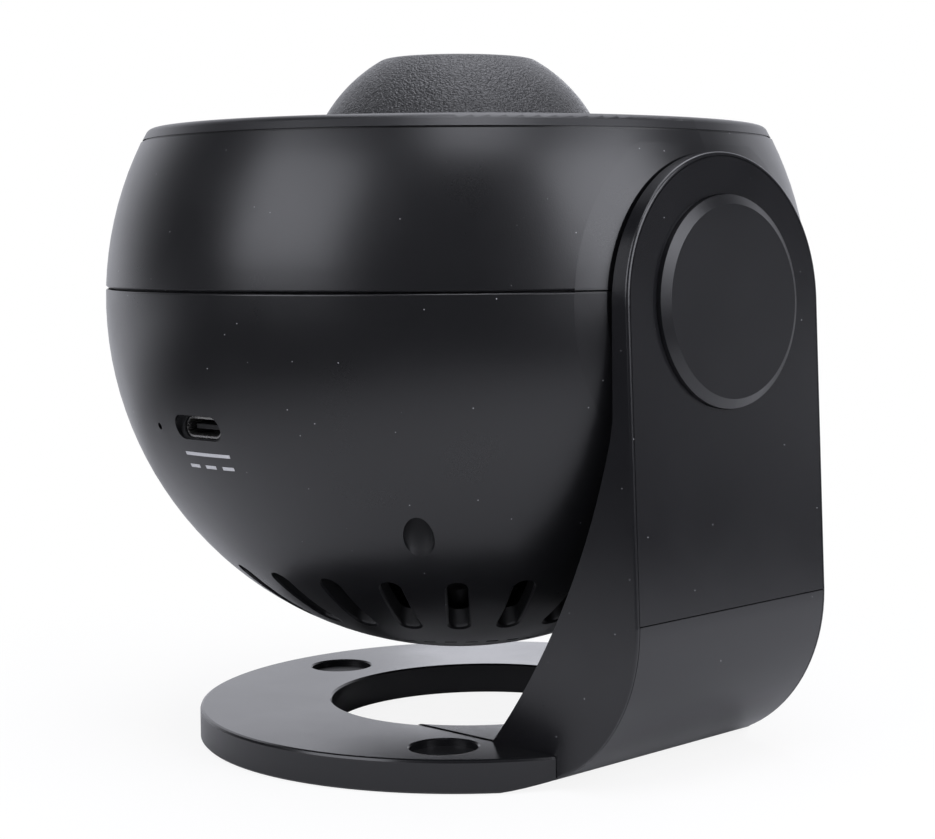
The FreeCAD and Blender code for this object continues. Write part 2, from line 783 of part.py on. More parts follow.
def rim_parts():
    # the bezel carries the globe's sphere on, up to a rounded top edge
    top = S.rim_height + S.bezel_height
    band_low = S.rim_height + S.rim_groove_height
    sphere = S.globe_radius - S.fit_gap
    edge_height = top - S.bezel_edge_round
    edge_radius = leg(sphere - S.bezel_edge_round, edge_height)
    edge_share = sphere / (sphere - S.bezel_edge_round)
    groove = RIM_RADIUS - S.fit_gap - S.rim_groove_depth
    foot_top = S.rim_height + S.bezel_foot_thickness
    bezel = turned("Bezel", [
        (BEZEL_INNER - S.bezel_foot_width, S.rim_height),
        (groove, S.rim_height),
        (groove, band_low),
        (leg(sphere, band_low), band_low, sphere, 1),
        (edge_radius * edge_share, edge_height * edge_share, S.bezel_edge_round, 1),
        (edge_radius, top),
        (BEZEL_INNER, top),
        (BEZEL_INNER, foot_top),
        (BEZEL_INNER - S.bezel_foot_width, foot_top),
    ])
    node(bezel, "rim_bezel")
    hole = leg(S.dome_radius, S.rim_height - S.dome_sphere_height) + S.running_gap + S.fit_gap
    step = BEZEL_INNER - S.bezel_foot_width - S.fit_gap
    plate = turned("DeckPlate", [
        (hole, S.rim_height),
        (step, S.rim_height),
        (step, foot_top),
        (DECK_RADIUS, foot_top),
        (DECK_RADIUS, DECK_TOP),
        (hole, DECK_TOP),
    ])
    posts = []
    clip_out = RIM_RADIUS - S.rim_flange_width - S.fit_gap
    hook_top = S.rim_height - S.rim_flange_thickness - S.fit_gap
    for index, angle in enumerate(CLIP_ANGLES):
        turn = FreeCAD.Rotation(FreeCAD.Vector(0, 0, 1), angle)
        leg_start = leg(clip_out, S.clip_width / 2) - S.clip_thickness
        half = S.clip_width / 2
        x = turn_x(leg_start, angle) + turn_y(half, angle)
        y = turn_y(leg_start, angle) - turn_x(half, angle)
        posts.append(block("ClipLeg%d" % index, S.clip_thickness, S.clip_width,
                           S.rim_height - hook_top + S.clip_hook_height, x, y,
                           hook_top - S.clip_hook_height, turn))
        posts.append(block("ClipHook%d" % index, S.clip_thickness + S.clip_hook, S.clip_width,
                           S.clip_hook_height, x, y, hook_top - S.clip_hook_height, turn))
    for sign in (-1, 1):
        posts.append(rod("DeckPost%d" % (sign + 1), S.button_post_radius,
                         S.rim_height - BUTTON_BOARD_TOP, button_post_x(sign),
                         S.button_row_distance, BUTTON_BOARD_TOP))
    cuts = []
    for index, x in enumerate(button_spots()):
        cuts.append(rod("ButtonHole%d" % index, S.button_hole_radius, S.deck_thickness * 3,
                        x, S.button_row_distance, S.rim_height - S.deck_thickness))
    for sign in (-1, 1):
        cuts.append(rod("DeckPilot%d" % (sign + 1), S.small_screw_radius,
                        S.small_screw_length, button_post_x(sign), S.button_row_distance,
                        BUTTON_BOARD_TOP - S.board_thickness))
    node(without("TopDeck", joined("DeckSolid", [plate] + posts), cuts), "top_deck")


def shell_screws():
    things = []
    for index, (x, y) in enumerate(screw_spots(S.screw_circle_radius, SHELL_SCREW_ANGLES)):
        body = screw("ShellScrew%d" % index, S.screw_radius, S.shell_screw_length,
                     S.screw_head_radius, S.screw_head_height, x, y, -S.screw_seat_drop)
        recess = cross("ShellCross%d" % index, S.screw_head_radius, S.screw_head_height / 2,
                       x, y, -S.screw_seat_drop - S.screw_head_height)
        things.append(without("ShellScrewCut%d" % index, body, recess))
    node(group("ShellScrews", things), "shell_screws")


# Deck buttons

BUTTON_TOP = DECK_TOP + S.button_proud
BUTTON_LOW = S.rim_height - S.fit_gap - S.button_flange_thickness
SWITCH_TOP = BUTTON_LOW - S.button_travel - S.pivot_fit
BUTTON_BOARD_TOP = SWITCH_TOP - S.switch_stem_height - S.switch_height


def button_spots():
    return [S.button_spacing * step for step in (-1, 0, 1)]


def button_post_x(sign):
    return S.button_spacing * sign * BUTTON_POST_SHARE


def deck_buttons():
    for index, (x, label) in enumerate(zip(button_spots(), ("power", "light", "turn"))):
        flange_top = BUTTON_LOW + S.button_flange_thickness
        cap = turned("Button%d" % index, [
            (ZERO, BUTTON_LOW),
            (S.button_flange_radius, BUTTON_LOW),
            (S.button_flange_radius, flange_top),
            (S.button_radius, flange_top),
            (S.button_radius, BUTTON_TOP - S.seam_chamfer),
            (S.button_radius - S.seam_chamfer, BUTTON_TOP),
            (ZERO, BUTTON_TOP),
        ])
        node(cap, "button_" + label, x=x, y=S.button_row_distance)
    board = block("ButtonPlate", S.button_board_length, S.button_board_width, S.board_thickness,
                  S.button_board_length / -2, S.button_row_distance - S.button_board_width / 2,
                  BUTTON_BOARD_TOP - S.board_thickness)
    holes = [rod("ButtonPlateHole%d" % (sign + 1), S.small_screw_radius + S.fit_gap,
                 S.board_thickness * 3, button_post_x(sign), S.button_row_distance,
                 BUTTON_BOARD_TOP - S.board_thickness * 2) for sign in (-1, 1)]
    node(without("ButtonBoard", board, holes), "button_board")
    switches = []
    for index, x in enumerate(button_spots()):
        side = S.switch_side
        switches.append(joined("Switch%d" % index, [
            block("SwitchBody%d" % index, side, side, S.switch_height,
                  x - side / 2, S.button_row_distance - side / 2, BUTTON_BOARD_TOP),
            rod("SwitchStem%d" % index, S.switch_stem_radius, S.switch_stem_height, x,
                S.button_row_distance, BUTTON_BOARD_TOP + S.switch_height)]))
    node(group("Switches", switches), "button_switches")
    screws = [screw("ButtonScrew%d" % (sign + 1), S.small_screw_radius,
                    S.small_screw_length, S.small_screw_head_radius,
                    S.small_screw_head_height, button_post_x(sign), S.button_row_distance,
                    BUTTON_BOARD_TOP - S.board_thickness) for sign in (-1, 1)]
    node(group("ButtonScrews", screws), "button_board_screws")


# Focus dome and lens barrel

SLEEVE_INNER = S.guide_tube_radius + S.running_gap
SLEEVE_OUTER = SLEEVE_INNER + S.sleeve_wall
DOME_LOW = S.rim_height - S.dome_skirt_depth


def dome_at(radius, height):
    return leg(radius, height - S.dome_sphere_height)


def dome_height_at(radius, distance):
    return S.dome_sphere_height + leg(radius, distance)


def focus_dome():
    inner = S.dome_radius - S.dome_wall
    ceiling = S.dome_top_height - S.dome_wall
    low = GUIDE_TOP + S.fit_gap
    rounded = S.dome_radius - S.dome_edge_round
    edge_height = S.dome_top_height - S.dome_edge_round - S.dome_sphere_height
    edge_radius = leg(rounded, edge_height)
    edge_share = S.dome_radius / rounded
    groove = SLEEVE_INNER + S.sleeve_wall / 2
    groove_low = S.lug_height_above - S.barrel_travel - S.fit_gap
    groove_high = S.lug_height_above + S.lug_height + S.barrel_travel + S.fit_gap
    dome = turned("Dome", [
        (S.dome_window_radius, S.dome_top_height),
        (S.dome_window_radius, ceiling),
        (dome_at(inner, ceiling), ceiling, inner, -1),
        (SLEEVE_INNER, dome_height_at(inner, SLEEVE_INNER)),
        (SLEEVE_INNER, groove_high),
        (groove, groove_high),
        (groove, groove_low),
        (SLEEVE_INNER, groove_low),
        (SLEEVE_INNER, low),
        (SLEEVE_OUTER, low),
        (SLEEVE_OUTER, dome_height_at(inner, SLEEVE_OUTER), inner, -1),
        (dome_at(inner, DOME_LOW), DOME_LOW),
        (dome_at(S.dome_radius, DOME_LOW), DOME_LOW, S.dome_radius, 1),
        (edge_radius * edge_share, S.dome_sphere_height + edge_height * edge_share,
         S.dome_edge_round, 1),
        (edge_radius, S.dome_top_height),
    ])
    node(dome, "focus_dome")


BARREL_RADIUS = S.guide_tube_radius - S.guide_tube_wall - S.running_gap


def lens_barrel():
    bore = BARREL_RADIUS - S.barrel_wall
    neck_bore = S.barrel_neck_radius - S.barrel_neck_wall
    rear_seat = S.barrel_bottom + S.lens_edge
    front_seat = S.barrel_top - S.front_lens_crown
    ledge = S.barrel_wall / 2
    tube = turned("BarrelTube", [
        (bore, S.barrel_bottom),
        (BARREL_RADIUS, S.barrel_bottom),
        (BARREL_RADIUS, S.barrel_shoulder),
        (S.barrel_neck_radius, S.barrel_shoulder),
        (S.barrel_neck_radius, S.barrel_top),
        (neck_bore, S.barrel_top),
        (neck_bore, front_seat),
        (neck_bore - ledge, front_seat),
        (neck_bore - ledge, S.barrel_shoulder - S.barrel_wall),
        (bore - ledge, S.barrel_shoulder - S.barrel_wall),
        (bore - ledge, rear_seat),
        (bore, rear_seat),
    ])
    lugs = []
    reach = SLEEVE_INNER + S.sleeve_wall / 2 - S.running_gap
    for index, angle in enumerate(LUG_ANGLES):
        half = S.lug_width / 2
        start = BARREL_RADIUS - S.barrel_wall / 2
        turn = FreeCAD.Rotation(FreeCAD.Vector(0, 0, 1), angle)
        x = turn_x(start, angle) + turn_y(half, angle)
        y = turn_y(start, angle) - turn_x(half, angle)
        lugs.append(block("Lug%d" % index, reach - start, S.lug_width, S.lug_height,
                          x, y, S.lug_height_above, turn))
    node(joined("Barrel", [tube] + lugs), "lens_barrel")
    front_radius = neck_bore - S.pivot_fit
    curve = (front_radius * front_radius + S.front_lens_crown * S.front_lens_crown) / (
        S.front_lens_crown * 2)
    front = turned("FrontLens", [
        (ZERO, front_seat),
        (front_radius, front_seat, curve, 1),
        (ZERO, S.barrel_top),
    ])
    node(front, "front_lens")
    rear_radius = bore - S.pivot_fit
    face_radius = rear_radius - ledge * 2
    curve = (face_radius * face_radius + S.rear_lens_crown * S.rear_lens_crown) / (
        S.rear_lens_crown * 2)
    rear = turned("RearLens", [
        (ZERO, S.barrel_bottom),
        (rear_radius, S.barrel_bottom),
        (rear_radius, rear_seat),
        (face_radius, rear_seat, curve, 1),
        (ZERO, rear_seat + S.rear_lens_crown),
    ])
    node(rear, "rear_lens")


def lens_guide():
    inner = S.guide_tube_radius - S.guide_tube_wall
    tube = turned("GuideTube", [
        (inner, S.guide_height),
        (S.guide_flange_radius, S.guide_height),
        (S.guide_flange_radius, GUIDE_TOP),
        (S.guide_tube_radius, GUIDE_TOP),
        (S.guide_tube_radius, S.guide_height + S.guide_tube_height),
        (inner, S.guide_height + S.guide_tube_height),
    ])
    cuts = []
    for index, angle in enumerate(LUG_ANGLES):
        half = S.guide_slot_width / 2
        start = inner - S.guide_tube_wall
        low = S.lug_height_above - S.barrel_travel - S.fit_gap
        turn = FreeCAD.Rotation(FreeCAD.Vector(0, 0, 1), angle)
        x = turn_x(start, angle) + turn_y(half, angle)
        y = turn_y(start, angle) - turn_x(half, angle)
        cuts.append(block("GuideSlot%d" % index, S.guide_tube_wall * 3, S.guide_slot_width,
                          S.guide_tube_height, x, y, low, turn))
    for index, (x, y) in enumerate(screw_spots(S.guide_post_circle, GUIDE_POST_ANGLES)):
        cuts.append(rod("GuideHole%d" % index, S.small_screw_radius + S.fit_gap,
                        S.guide_flange_thickness * 3, x, y,
                        S.guide_height - S.guide_flange_thickness))
    # the flange is cut back where the button board hangs beside it
    cuts.append(block("GuideTrim", S.guide_flange_radius * 2, S.guide_flange_radius,
                      S.guide_flange_thickness * 3, -S.guide_flange_radius,
                      S.button_row_distance - S.button_board_width / 2 - S.overrun / 2,
                      S.guide_height - S.guide_flange_thickness))
    node(without("LensGuide", tube, cuts), "lens_guide")
    screws = [screw("GuideScrew%d" % index, S.small_screw_radius, S.small_screw_length,
                    S.small_screw_head_radius, S.small_screw_head_height, x, y, GUIDE_TOP,
                    up=False)
              for index, (x, y) in enumerate(screw_spots(S.guide_post_circle, GUIDE_POST_ANGLES))]
    node(group("GuideScrews", screws), "lens_guide_screws")


# Optics frame, lamp and condenser

MOTOR_X = turn_x(S.gear_module * (CARRIER_TEETH + PINION_TEETH) / 2, MOTOR_ANGLE)
MOTOR_Y = turn_y(S.gear_module * (CARRIER_TEETH + PINION_TEETH) / 2, MOTOR_ANGLE)


def optics_frame():
    outer = INNER_RADIUS - S.frame_margin
    plate = turned("FramePlate", [
        (S.frame_hole_radius, S.frame_seat_height),
        (outer, S.frame_seat_height),
        (outer, FRAME_TOP),
        (S.collar_radius, FRAME_TOP),
        (S.collar_radius, FRAME_TOP + S.collar_height),
        (S.frame_hole_radius, FRAME_TOP + S.collar_height),
    ])
    posts = [rod("FramePost%d" % index, S.guide_post_radius, S.guide_height - FRAME_TOP,
                 x, y, FRAME_TOP)
             for index, (x, y) in enumerate(screw_spots(S.guide_post_circle, GUIDE_POST_ANGLES))]
    notch = S.hub_radius + S.frame_notch_gap
    notch_start = S.side_flat_distance - S.hub_length - S.spring_washer_thickness - \
        S.nut_thickness - S.pivot_end_length * 2
    cuts = [block("FrameNotch", S.globe_radius, notch * 2, S.frame_thickness * 3,
                  notch_start, -notch, S.frame_seat_height - S.frame_thickness),
            rod("MotorShaftHole", S.pinion_shaft_radius * 2, S.frame_thickness * 3,
                MOTOR_X, MOTOR_Y, S.frame_seat_height - S.frame_thickness)]
    for index, (x, y) in enumerate(screw_spots(S.screw_circle_radius, SHELL_SCREW_ANGLES)):
        cuts.append(rod("FrameHole%d" % index, S.screw_radius + S.fit_gap,
                        S.frame_thickness * 3, x, y, S.frame_seat_height - S.frame_thickness))
    for index, (x, y) in enumerate(screw_spots(S.guide_post_circle, GUIDE_POST_ANGLES)):
        cuts.append(rod("PostPilot%d" % index, S.small_screw_radius, S.small_screw_length,
                        x, y, GUIDE_TOP - S.small_screw_length))
    for index, (x, y) in enumerate(screw_spots(lamp_screw_circle(), GUIDE_POST_ANGLES)):
        cuts.append(rod("LampPilot%d" % index, S.small_screw_radius, S.frame_thickness * 3,
                        x, y, S.frame_seat_height - S.frame_thickness))
    for sign in (-1, 1):
        cuts.append(rod("MotorPilot%d" % (sign + 1), S.small_screw_radius,
                        S.frame_thickness * 3,
                        MOTOR_X + turn_x(S.motor_ear_distance * sign, MOTOR_ANGLE - 90.0),
                        MOTOR_Y + turn_y(S.motor_ear_distance * sign, MOTOR_ANGLE - 90.0),
                        S.frame_seat_height - S.frame_thickness))
    node(without("OpticsFrame", joined("FrameSolid", [plate] + posts), cuts), "optics_frame")


def lamp_screw_circle():
    return (S.lamp_tube_radius + S.lamp_flange_radius) / 2


def lamp_parts():
    inner = S.lamp_tube_radius - S.lamp_tube_wall
    low = S.frame_seat_height - S.lamp_tube_length
    flange_low = S.frame_seat_height - S.lamp_flange_thickness
    seat = -S.condenser_drop
    tube = turned("LampTube", [
        (inner, low),
        (S.lamp_tube_radius, low),
        (S.lamp_tube_radius, flange_low),
        (S.lamp_flange_radius, flange_low),
        (S.lamp_flange_radius, S.frame_seat_height),
        (inner, S.frame_seat_height),
        (inner, seat),
        (inner - S.condenser_ledge, seat),
        (inner - S.condenser_ledge, seat - S.condenser_ledge),
        (inner, seat - S.condenser_ledge),
    ])
    holes = [rod("LampTubeHole%d" % index, S.small_screw_radius + S.fit_gap,
                 S.lamp_flange_thickness * 3, x, y, flange_low - S.lamp_flange_thickness)
             for index, (x, y) in enumerate(screw_spots(lamp_screw_circle(), GUIDE_POST_ANGLES))]
    holes += [rod("LampTubePilot%d" % index, S.small_screw_radius, S.sink_screw_length,
                  x, y, low - S.sink_base - S.lamp_board_thickness)
              for index, (x, y) in enumerate(screw_spots(
                  S.lamp_tube_radius - S.lamp_tube_wall / 2, SINK_SCREW_ANGLES))]
    node(without("LampTubeCut", tube, holes), "lamp_tube")
    screws = [screw("LampScrew%d" % index, S.small_screw_radius,
                    S.lamp_flange_thickness + S.frame_thickness, S.small_screw_head_radius,
                    S.small_screw_head_height, x, y, flange_low)
              for index, (x, y) in enumerate(screw_spots(lamp_screw_circle(), GUIDE_POST_ANGLES))]
    node(group("LampScrews", screws), "lamp_tube_screws")
    radius = inner - S.fit_gap
    curve = (radius * radius + S.condenser_crown * S.condenser_crown) / (S.condenser_crown * 2)
    lens = turned("Condenser", [
        (ZERO, seat),
        (radius, seat),
        (radius, seat + S.condenser_edge, curve, 1),
        (ZERO, seat + S.condenser_edge + S.condenser_crown),
    ])
    node(lens, "condenser_lens")
    sink_spots = screw_spots(S.lamp_tube_radius - S.lamp_tube_wall / 2, SINK_SCREW_ANGLES)
    board = rod("LampBoardDisc", S.lamp_tube_radius, S.lamp_board_thickness, ZERO, ZERO,
                low - S.lamp_board_thickness)
    node(without("LampBoard", board, [
        rod("LampBoardHole%d" % index, S.small_screw_radius, S.lamp_board_thickness * 3, x, y,
            low - S.lamp_board_thickness * 2)
        for index, (x, y) in enumerate(sink_spots)]), "lamp_board")
    base = block("LampBase", S.lamp_side, S.lamp_side, S.lamp_height / 2,
                 S.lamp_side / -2, S.lamp_side / -2, low)
    dome = rod("LampDome", S.lamp_dome_radius, S.lamp_height / 2, ZERO, ZERO,
               low + S.lamp_height / 2)
    node(joined("Lamp", [base, dome]), "lamp_emitter")
    sink_top = low - S.lamp_board_thickness
    sink = rod("SinkBase", S.lamp_tube_radius, S.sink_base, ZERO, ZERO, sink_top - S.sink_base)
    pitch = S.lamp_tube_radius * 2 / FIN_COUNT
    fins = []
    for index in range(FIN_COUNT):
        middle = pitch * (index - (FIN_COUNT - 1) / 2)
        fins.append(block("Fin%d" % index, S.sink_fin_thickness, S.lamp_tube_radius * 2,
                          S.sink_fin_height + S.sink_base / 2, middle - S.sink_fin_thickness / 2,
                          -S.lamp_tube_radius, sink_top - S.sink_base - S.sink_fin_height))
    bound = rod("SinkBound", S.lamp_tube_radius, S.sink_base + S.sink_fin_height, ZERO, ZERO,
                sink_top - S.sink_base - S.sink_fin_height)
    base_low = sink_top - S.sink_base
    wells = []
    for index, (x, y) in enumerate(sink_spots):
        wells.append(rod("SinkHole%d" % index, S.small_screw_radius, S.sink_base * 3, x, y,
                         base_low - S.sink_base))
        wells.append(rod("SinkWell%d" % index, S.small_screw_head_radius + S.fit_gap,
                         S.sink_fin_height + S.overrun, x, y,
                         base_low - S.sink_fin_height - S.overrun))
    finned = shared("SinkFinned", [joined("SinkAll", [sink] + fins), bound])
    node(without("HeatSink", finned, wells), "heat_sink")
    screws = [screw("SinkScrew%d" % index, S.small_screw_radius, S.sink_screw_length,
                    S.small_screw_head_radius, S.small_screw_head_height, x, y, base_low)
              for index, (x, y) in enumerate(sink_spots)]
    node(group("SinkScrews", screws), "heat_sink_screws")


# Film disc, its geared carrier, the pinion and the motor

def involute_point(base_radius, radius):
    angle = math.acos(min(base_radius / radius, 1.0))
    return math.tan(angle) - angle


def gear_face(teeth, module, backlash):
    pitch = module * teeth / 2
    base = pitch * math.cos(math.radians(PRESSURE_ANGLE))
    tip = pitch + module * ADDENDUM_SHARE
    root = pitch - module * DEDENDUM_SHARE
    half_at_pitch = math.pi / (2 * teeth) - backlash / (2 * pitch)
    at_pitch = involute_point(base, pitch)
    flank_low = max(base, root)
    flank = []
    for step in range(FLANK_STEPS + 1):
        radius = flank_low + (tip - flank_low) * step / FLANK_STEPS
        half = half_at_pitch + at_pitch - involute_point(base, radius)
        flank.append((radius, half))
    if root < flank_low:
        flank.insert(0, (root, flank[0][1]))
    points = []
    for index in range(teeth):
        middle = 2 * math.pi * index / teeth
        for radius, half in flank:
            points.append((radius, middle - half))
        for radius, half in reversed(flank):
            points.append((radius, middle + half))
    corners = [FreeCAD.Vector(radius * math.cos(angle), radius * math.sin(angle), 0)
               for radius, angle in points]
    return Part.Face(Part.makePolygon(corners + [corners[0]]))


def film_parts():
    low = FRAME_TOP + S.carrier_lift
    ledge = FRAME_TOP + S.collar_height + S.carrier_lift
    bore = S.collar_radius + S.running_gap
    seat = ledge + S.carrier_ledge_thickness
    pocket = S.disc_radius + S.fit_gap
    teeth = gear_face(CARRIER_TEETH, S.gear_module.value, S.gear_backlash.value)
    blank = teeth.extrude(FreeCAD.Vector(0, 0, S.gear_face.value))
    blank.translate(FreeCAD.Vector(0, 0, low.value))
    upper = Part.makeCylinder((S.disc_radius + S.carrier_ledge_width * 2).value,
                              (seat + S.disc_thickness + S.carrier_lip_height - low).value,
                              FreeCAD.Vector(0, 0, low.value))
    solid = blank.fuse(upper)
    solid = solid.cut(Part.makeCylinder(bore.value, (ledge - low).value,
                                        FreeCAD.Vector(0, 0, low.value)))
    solid = solid.cut(Part.makeCylinder((S.disc_radius - S.carrier_ledge_width * 3).value,
                                        S.globe_radius.value, FreeCAD.Vector(0, 0, low.value)))
    solid = solid.cut(Part.makeCylinder(pocket.value, S.globe_radius.value,
                                        FreeCAD.Vector(0, 0, seat.value)))
    carrier = doc.addObject("Part::Feature", "Carrier")
    carrier.Shape = solid
    node(carrier, "disc_carrier")
    disc = turned("FilmDisc", [
        (ZERO, seat),
        (S.disc_radius, seat),
        (S.disc_radius, seat + S.disc_thickness),
        (ZERO, seat + S.disc_thickness),
    ])
    node(disc, "film_disc")
    # the pinion is turned by half a tooth where its own tooth count needs it for the mesh
    mesh_turn = MOTOR_ANGLE + 180.0 + 180.0 / PINION_TEETH
    carrier_phase = (MOTOR_ANGLE * CARRIER_TEETH / 360.0) % 1.0
    mesh_turn -= carrier_phase * 360.0 / PINION_TEETH
    teeth = gear_face(PINION_TEETH, S.gear_module.value, S.gear_backlash.value)
    teeth.rotate(FreeCAD.Vector(0, 0, 0), FreeCAD.Vector(0, 0, 1), mesh_turn)
    pinion_solid = teeth.extrude(FreeCAD.Vector(0, 0, S.gear_face.value))
    pinion_solid.translate(FreeCAD.Vector(0, 0, low.value))
    shaft_low = S.frame_seat_height - S.overrun
    shaft = Part.makeCylinder(S.pinion_shaft_radius.value, (low + S.gear_face - shaft_low).value,
                              FreeCAD.Vector(0, 0, shaft_low.value))
    pinion = doc.addObject("Part::Feature", "Pinion")
    pinion.Shape = pinion_solid.fuse(shaft)
    node(pinion, "drive_pinion", x=MOTOR_X, y=MOTOR_Y)
    bore_radius = S.pinion_shaft_radius + S.pivot_fit
    motor = turned("Motor", [
        (ZERO, S.frame_seat_height - S.motor_length),
        (S.motor_radius - S.seam_chamfer, S.frame_seat_height - S.motor_length),
        (S.motor_radius, S.frame_seat_height - S.motor_length + S.seam_chamfer),
        (S.motor_radius, S.frame_seat_height),
        (bore_radius, S.frame_seat_height),
        (bore_radius, shaft_low - S.fit_gap),
        (ZERO, shaft_low - S.fit_gap),
    ])
    across = FreeCAD.Rotation(FreeCAD.Vector(0, 0, 1), MOTOR_ANGLE - 90.0)
    ear_low = S.frame_seat_height - S.motor_ear_thickness
    span = S.motor_ear_distance * 2
    side = S.motor_ear_radius
    strap = block("MotorStrap", span, side * 2, S.motor_ear_thickness, span / -2, -side, ear_low)
    ends = [rod("MotorEar%d" % (sign + 1), side, S.motor_ear_thickness,
                S.motor_ear_distance * sign, ZERO, ear_low) for sign in (-1, 1)]
    holes = [rod("MotorEarHole%d" % (sign + 1), S.small_screw_radius + S.fit_gap,
                 S.motor_ear_thickness * 3, S.motor_ear_distance * sign, ZERO,
                 ear_low - S.motor_ear_thickness) for sign in (-1, 1)]
    holes.append(rod("MotorBore", bore_radius, S.overrun + S.fit_gap, ZERO, ZERO,
                     shaft_low - S.fit_gap))
    node(without("MotorCut", joined("MotorSolid", [motor, strap] + ends), holes),
         "drive_motor", x=MOTOR_X, y=MOTOR_Y, rotation=across)
    screws = [screw("MotorScrew%d" % (sign + 1), S.small_screw_radius,
                    S.motor_ear_thickness + S.frame_thickness, S.small_screw_head_radius,
                    S.small_screw_head_height, S.motor_ear_distance * sign, ZERO, ear_low)
              for sign in (-1, 1)]
    node(group("MotorScrews", screws), "drive_motor_screws", x=MOTOR_X, y=MOTOR_Y,
         rotation=across)


# Cooling fan

def fan_parts():
    side = S.fan_side
    frame = block("FanBlock", side, side, S.fan_height, side / -2, side / -2, FAN_BOTTOM)
    cuts = [rod("FanBore", S.fan_bore_radius, S.fan_height * 3, ZERO, ZERO,
                FAN_BOTTOM - S.fan_height)]
    pocket_low = FAN_BOTTOM + S.fan_plate
    for index, (sign_x, sign_y) in enumerate(((1, 1), (-1, 1), (-1, -1), (1, -1))):
        cuts.append(rod("FanHole%d" % index, S.small_screw_radius + S.fit_gap,
                        S.fan_height, S.fan_hole_offset * sign_x,
                        S.fan_hole_offset * sign_y, FAN_BOTTOM - S.fan_height / 2))
        cuts.append(rod("FanHeadWell%d" % index, S.small_screw_head_radius + S.fit_gap,
                        S.fan_height, S.fan_hole_offset * sign_x,
                        S.fan_hole_offset * sign_y, pocket_low))
    ring = without("FanRing", frame, cuts)
    spokes = []
    for index, angle in enumerate(STRUT_ANGLES):
        half = S.fan_strut_width / 2
        turn = FreeCAD.Rotation(FreeCAD.Vector(0, 0, 1), angle)
        x = turn_y(half, angle)
        y = -turn_x(half, angle)
        spokes.append(block("Strut%d" % index, S.fan_bore_radius + S.fan_plate / 2,
                            S.fan_strut_width, S.fan_plate, x, y, FAN_BOTTOM, turn))
    hub_plate = rod("FanHubPlate", S.fan_hub_radius, S.fan_plate, ZERO, ZERO, FAN_BOTTOM)
    bearing = rod("FanBearing", S.fan_axle_radius * 3, S.fan_height / 2, ZERO, ZERO, FAN_BOTTOM)
    bore = rod("FanBearingBore", S.fan_axle_radius + S.pivot_fit, S.fan_height * 2,
               ZERO, ZERO, FAN_BOTTOM + S.fan_plate / 2)
    solid = joined("FanSolid", [ring, hub_plate, bearing] + spokes)
    node(without("FanFrame", solid, [bore]), "fan_frame")
    screws = [screw("FanScrew%d" % index, S.small_screw_radius, S.small_screw_length,
                    S.small_screw_head_radius, S.small_screw_head_height,
                    S.fan_hole_offset * sign_x, S.fan_hole_offset * sign_y, pocket_low, up=False)
              for index, (sign_x, sign_y) in enumerate(((1, 1), (-1, 1), (-1, -1), (1, -1)))]
    node(group("FanScrews", screws), "fan_screws")
    rotor_low = FAN_BOTTOM + S.fan_plate + S.running_gap
    rotor_top = FAN_BOTTOM + S.fan_height - S.running_gap
    wall = S.fan_plate
    cup = turned("RotorCup", [
        (ZERO, FAN_BOTTOM + S.fan_plate),
        (S.fan_axle_radius, FAN_BOTTOM + S.fan_plate),
        (S.fan_axle_radius, rotor_top - wall),
        (S.fan_hub_radius - wall, rotor_top - wall),
        (S.fan_hub_radius - wall, rotor_low),
        (S.fan_hub_radius, rotor_low),
        (S.fan_hub_radius, rotor_top),
        (ZERO, rotor_top),
    ])
    blades = []
    reach = S.fan_bore_radius - S.fan_blade_gap
    middle = (rotor_low + rotor_top) / 2
    chord = (rotor_top - rotor_low) * BLADE_CHORD_SHARE
    thin = S.fan_plate / 2
    for index in range(FAN_BLADES):
        angle = 360.0 * index / FAN_BLADES
        tilt = FreeCAD.Rotation(FreeCAD.Vector(1, 0, 0), FAN_BLADE_PITCH)
        turn = FreeCAD.Rotation(FreeCAD.Vector(0, 0, 1), angle)
        start = S.fan_hub_radius - wall / 2
        spin = turn.multiply(tilt)
        blades.append(block("Blade%d" % index, reach - start + wall, chord, thin,
                            turn_x(start, angle) + blade_shift(spin, chord, thin, 0),
                            turn_y(start, angle) + blade_shift(spin, chord, thin, 1),
                            middle + blade_shift(spin, chord, thin, 2), spin))
    swept = rod("RotorBound", reach, rotor_top - rotor_low, ZERO, ZERO, rotor_low)
    core = rod("RotorCore", S.fan_hub_radius - wall / 2, S.fan_height * 2, ZERO, ZERO,
               FAN_BOTTOM - S.fan_height / 2)
    trimmed = without("RotorBlades", shared("RotorBladesBound", [
        joined("RotorBladesAll", blades), swept]), [core])
    node(joined("FanRotor", [cup, trimmed]), "fan_rotor")


def blade_shift(spin, chord, thin, axis):
    # moves a blade so that the middle of its root edge lies on the hub
    along = spin.multVec(FreeCAD.Vector(0, 1, 0))[axis]
    across = spin.multVec(FreeCAD.Vector(0, 0, 1))[axis]
    return chord * (-along / 2) + thin * (-across / 2)


# Main board, power port and status light

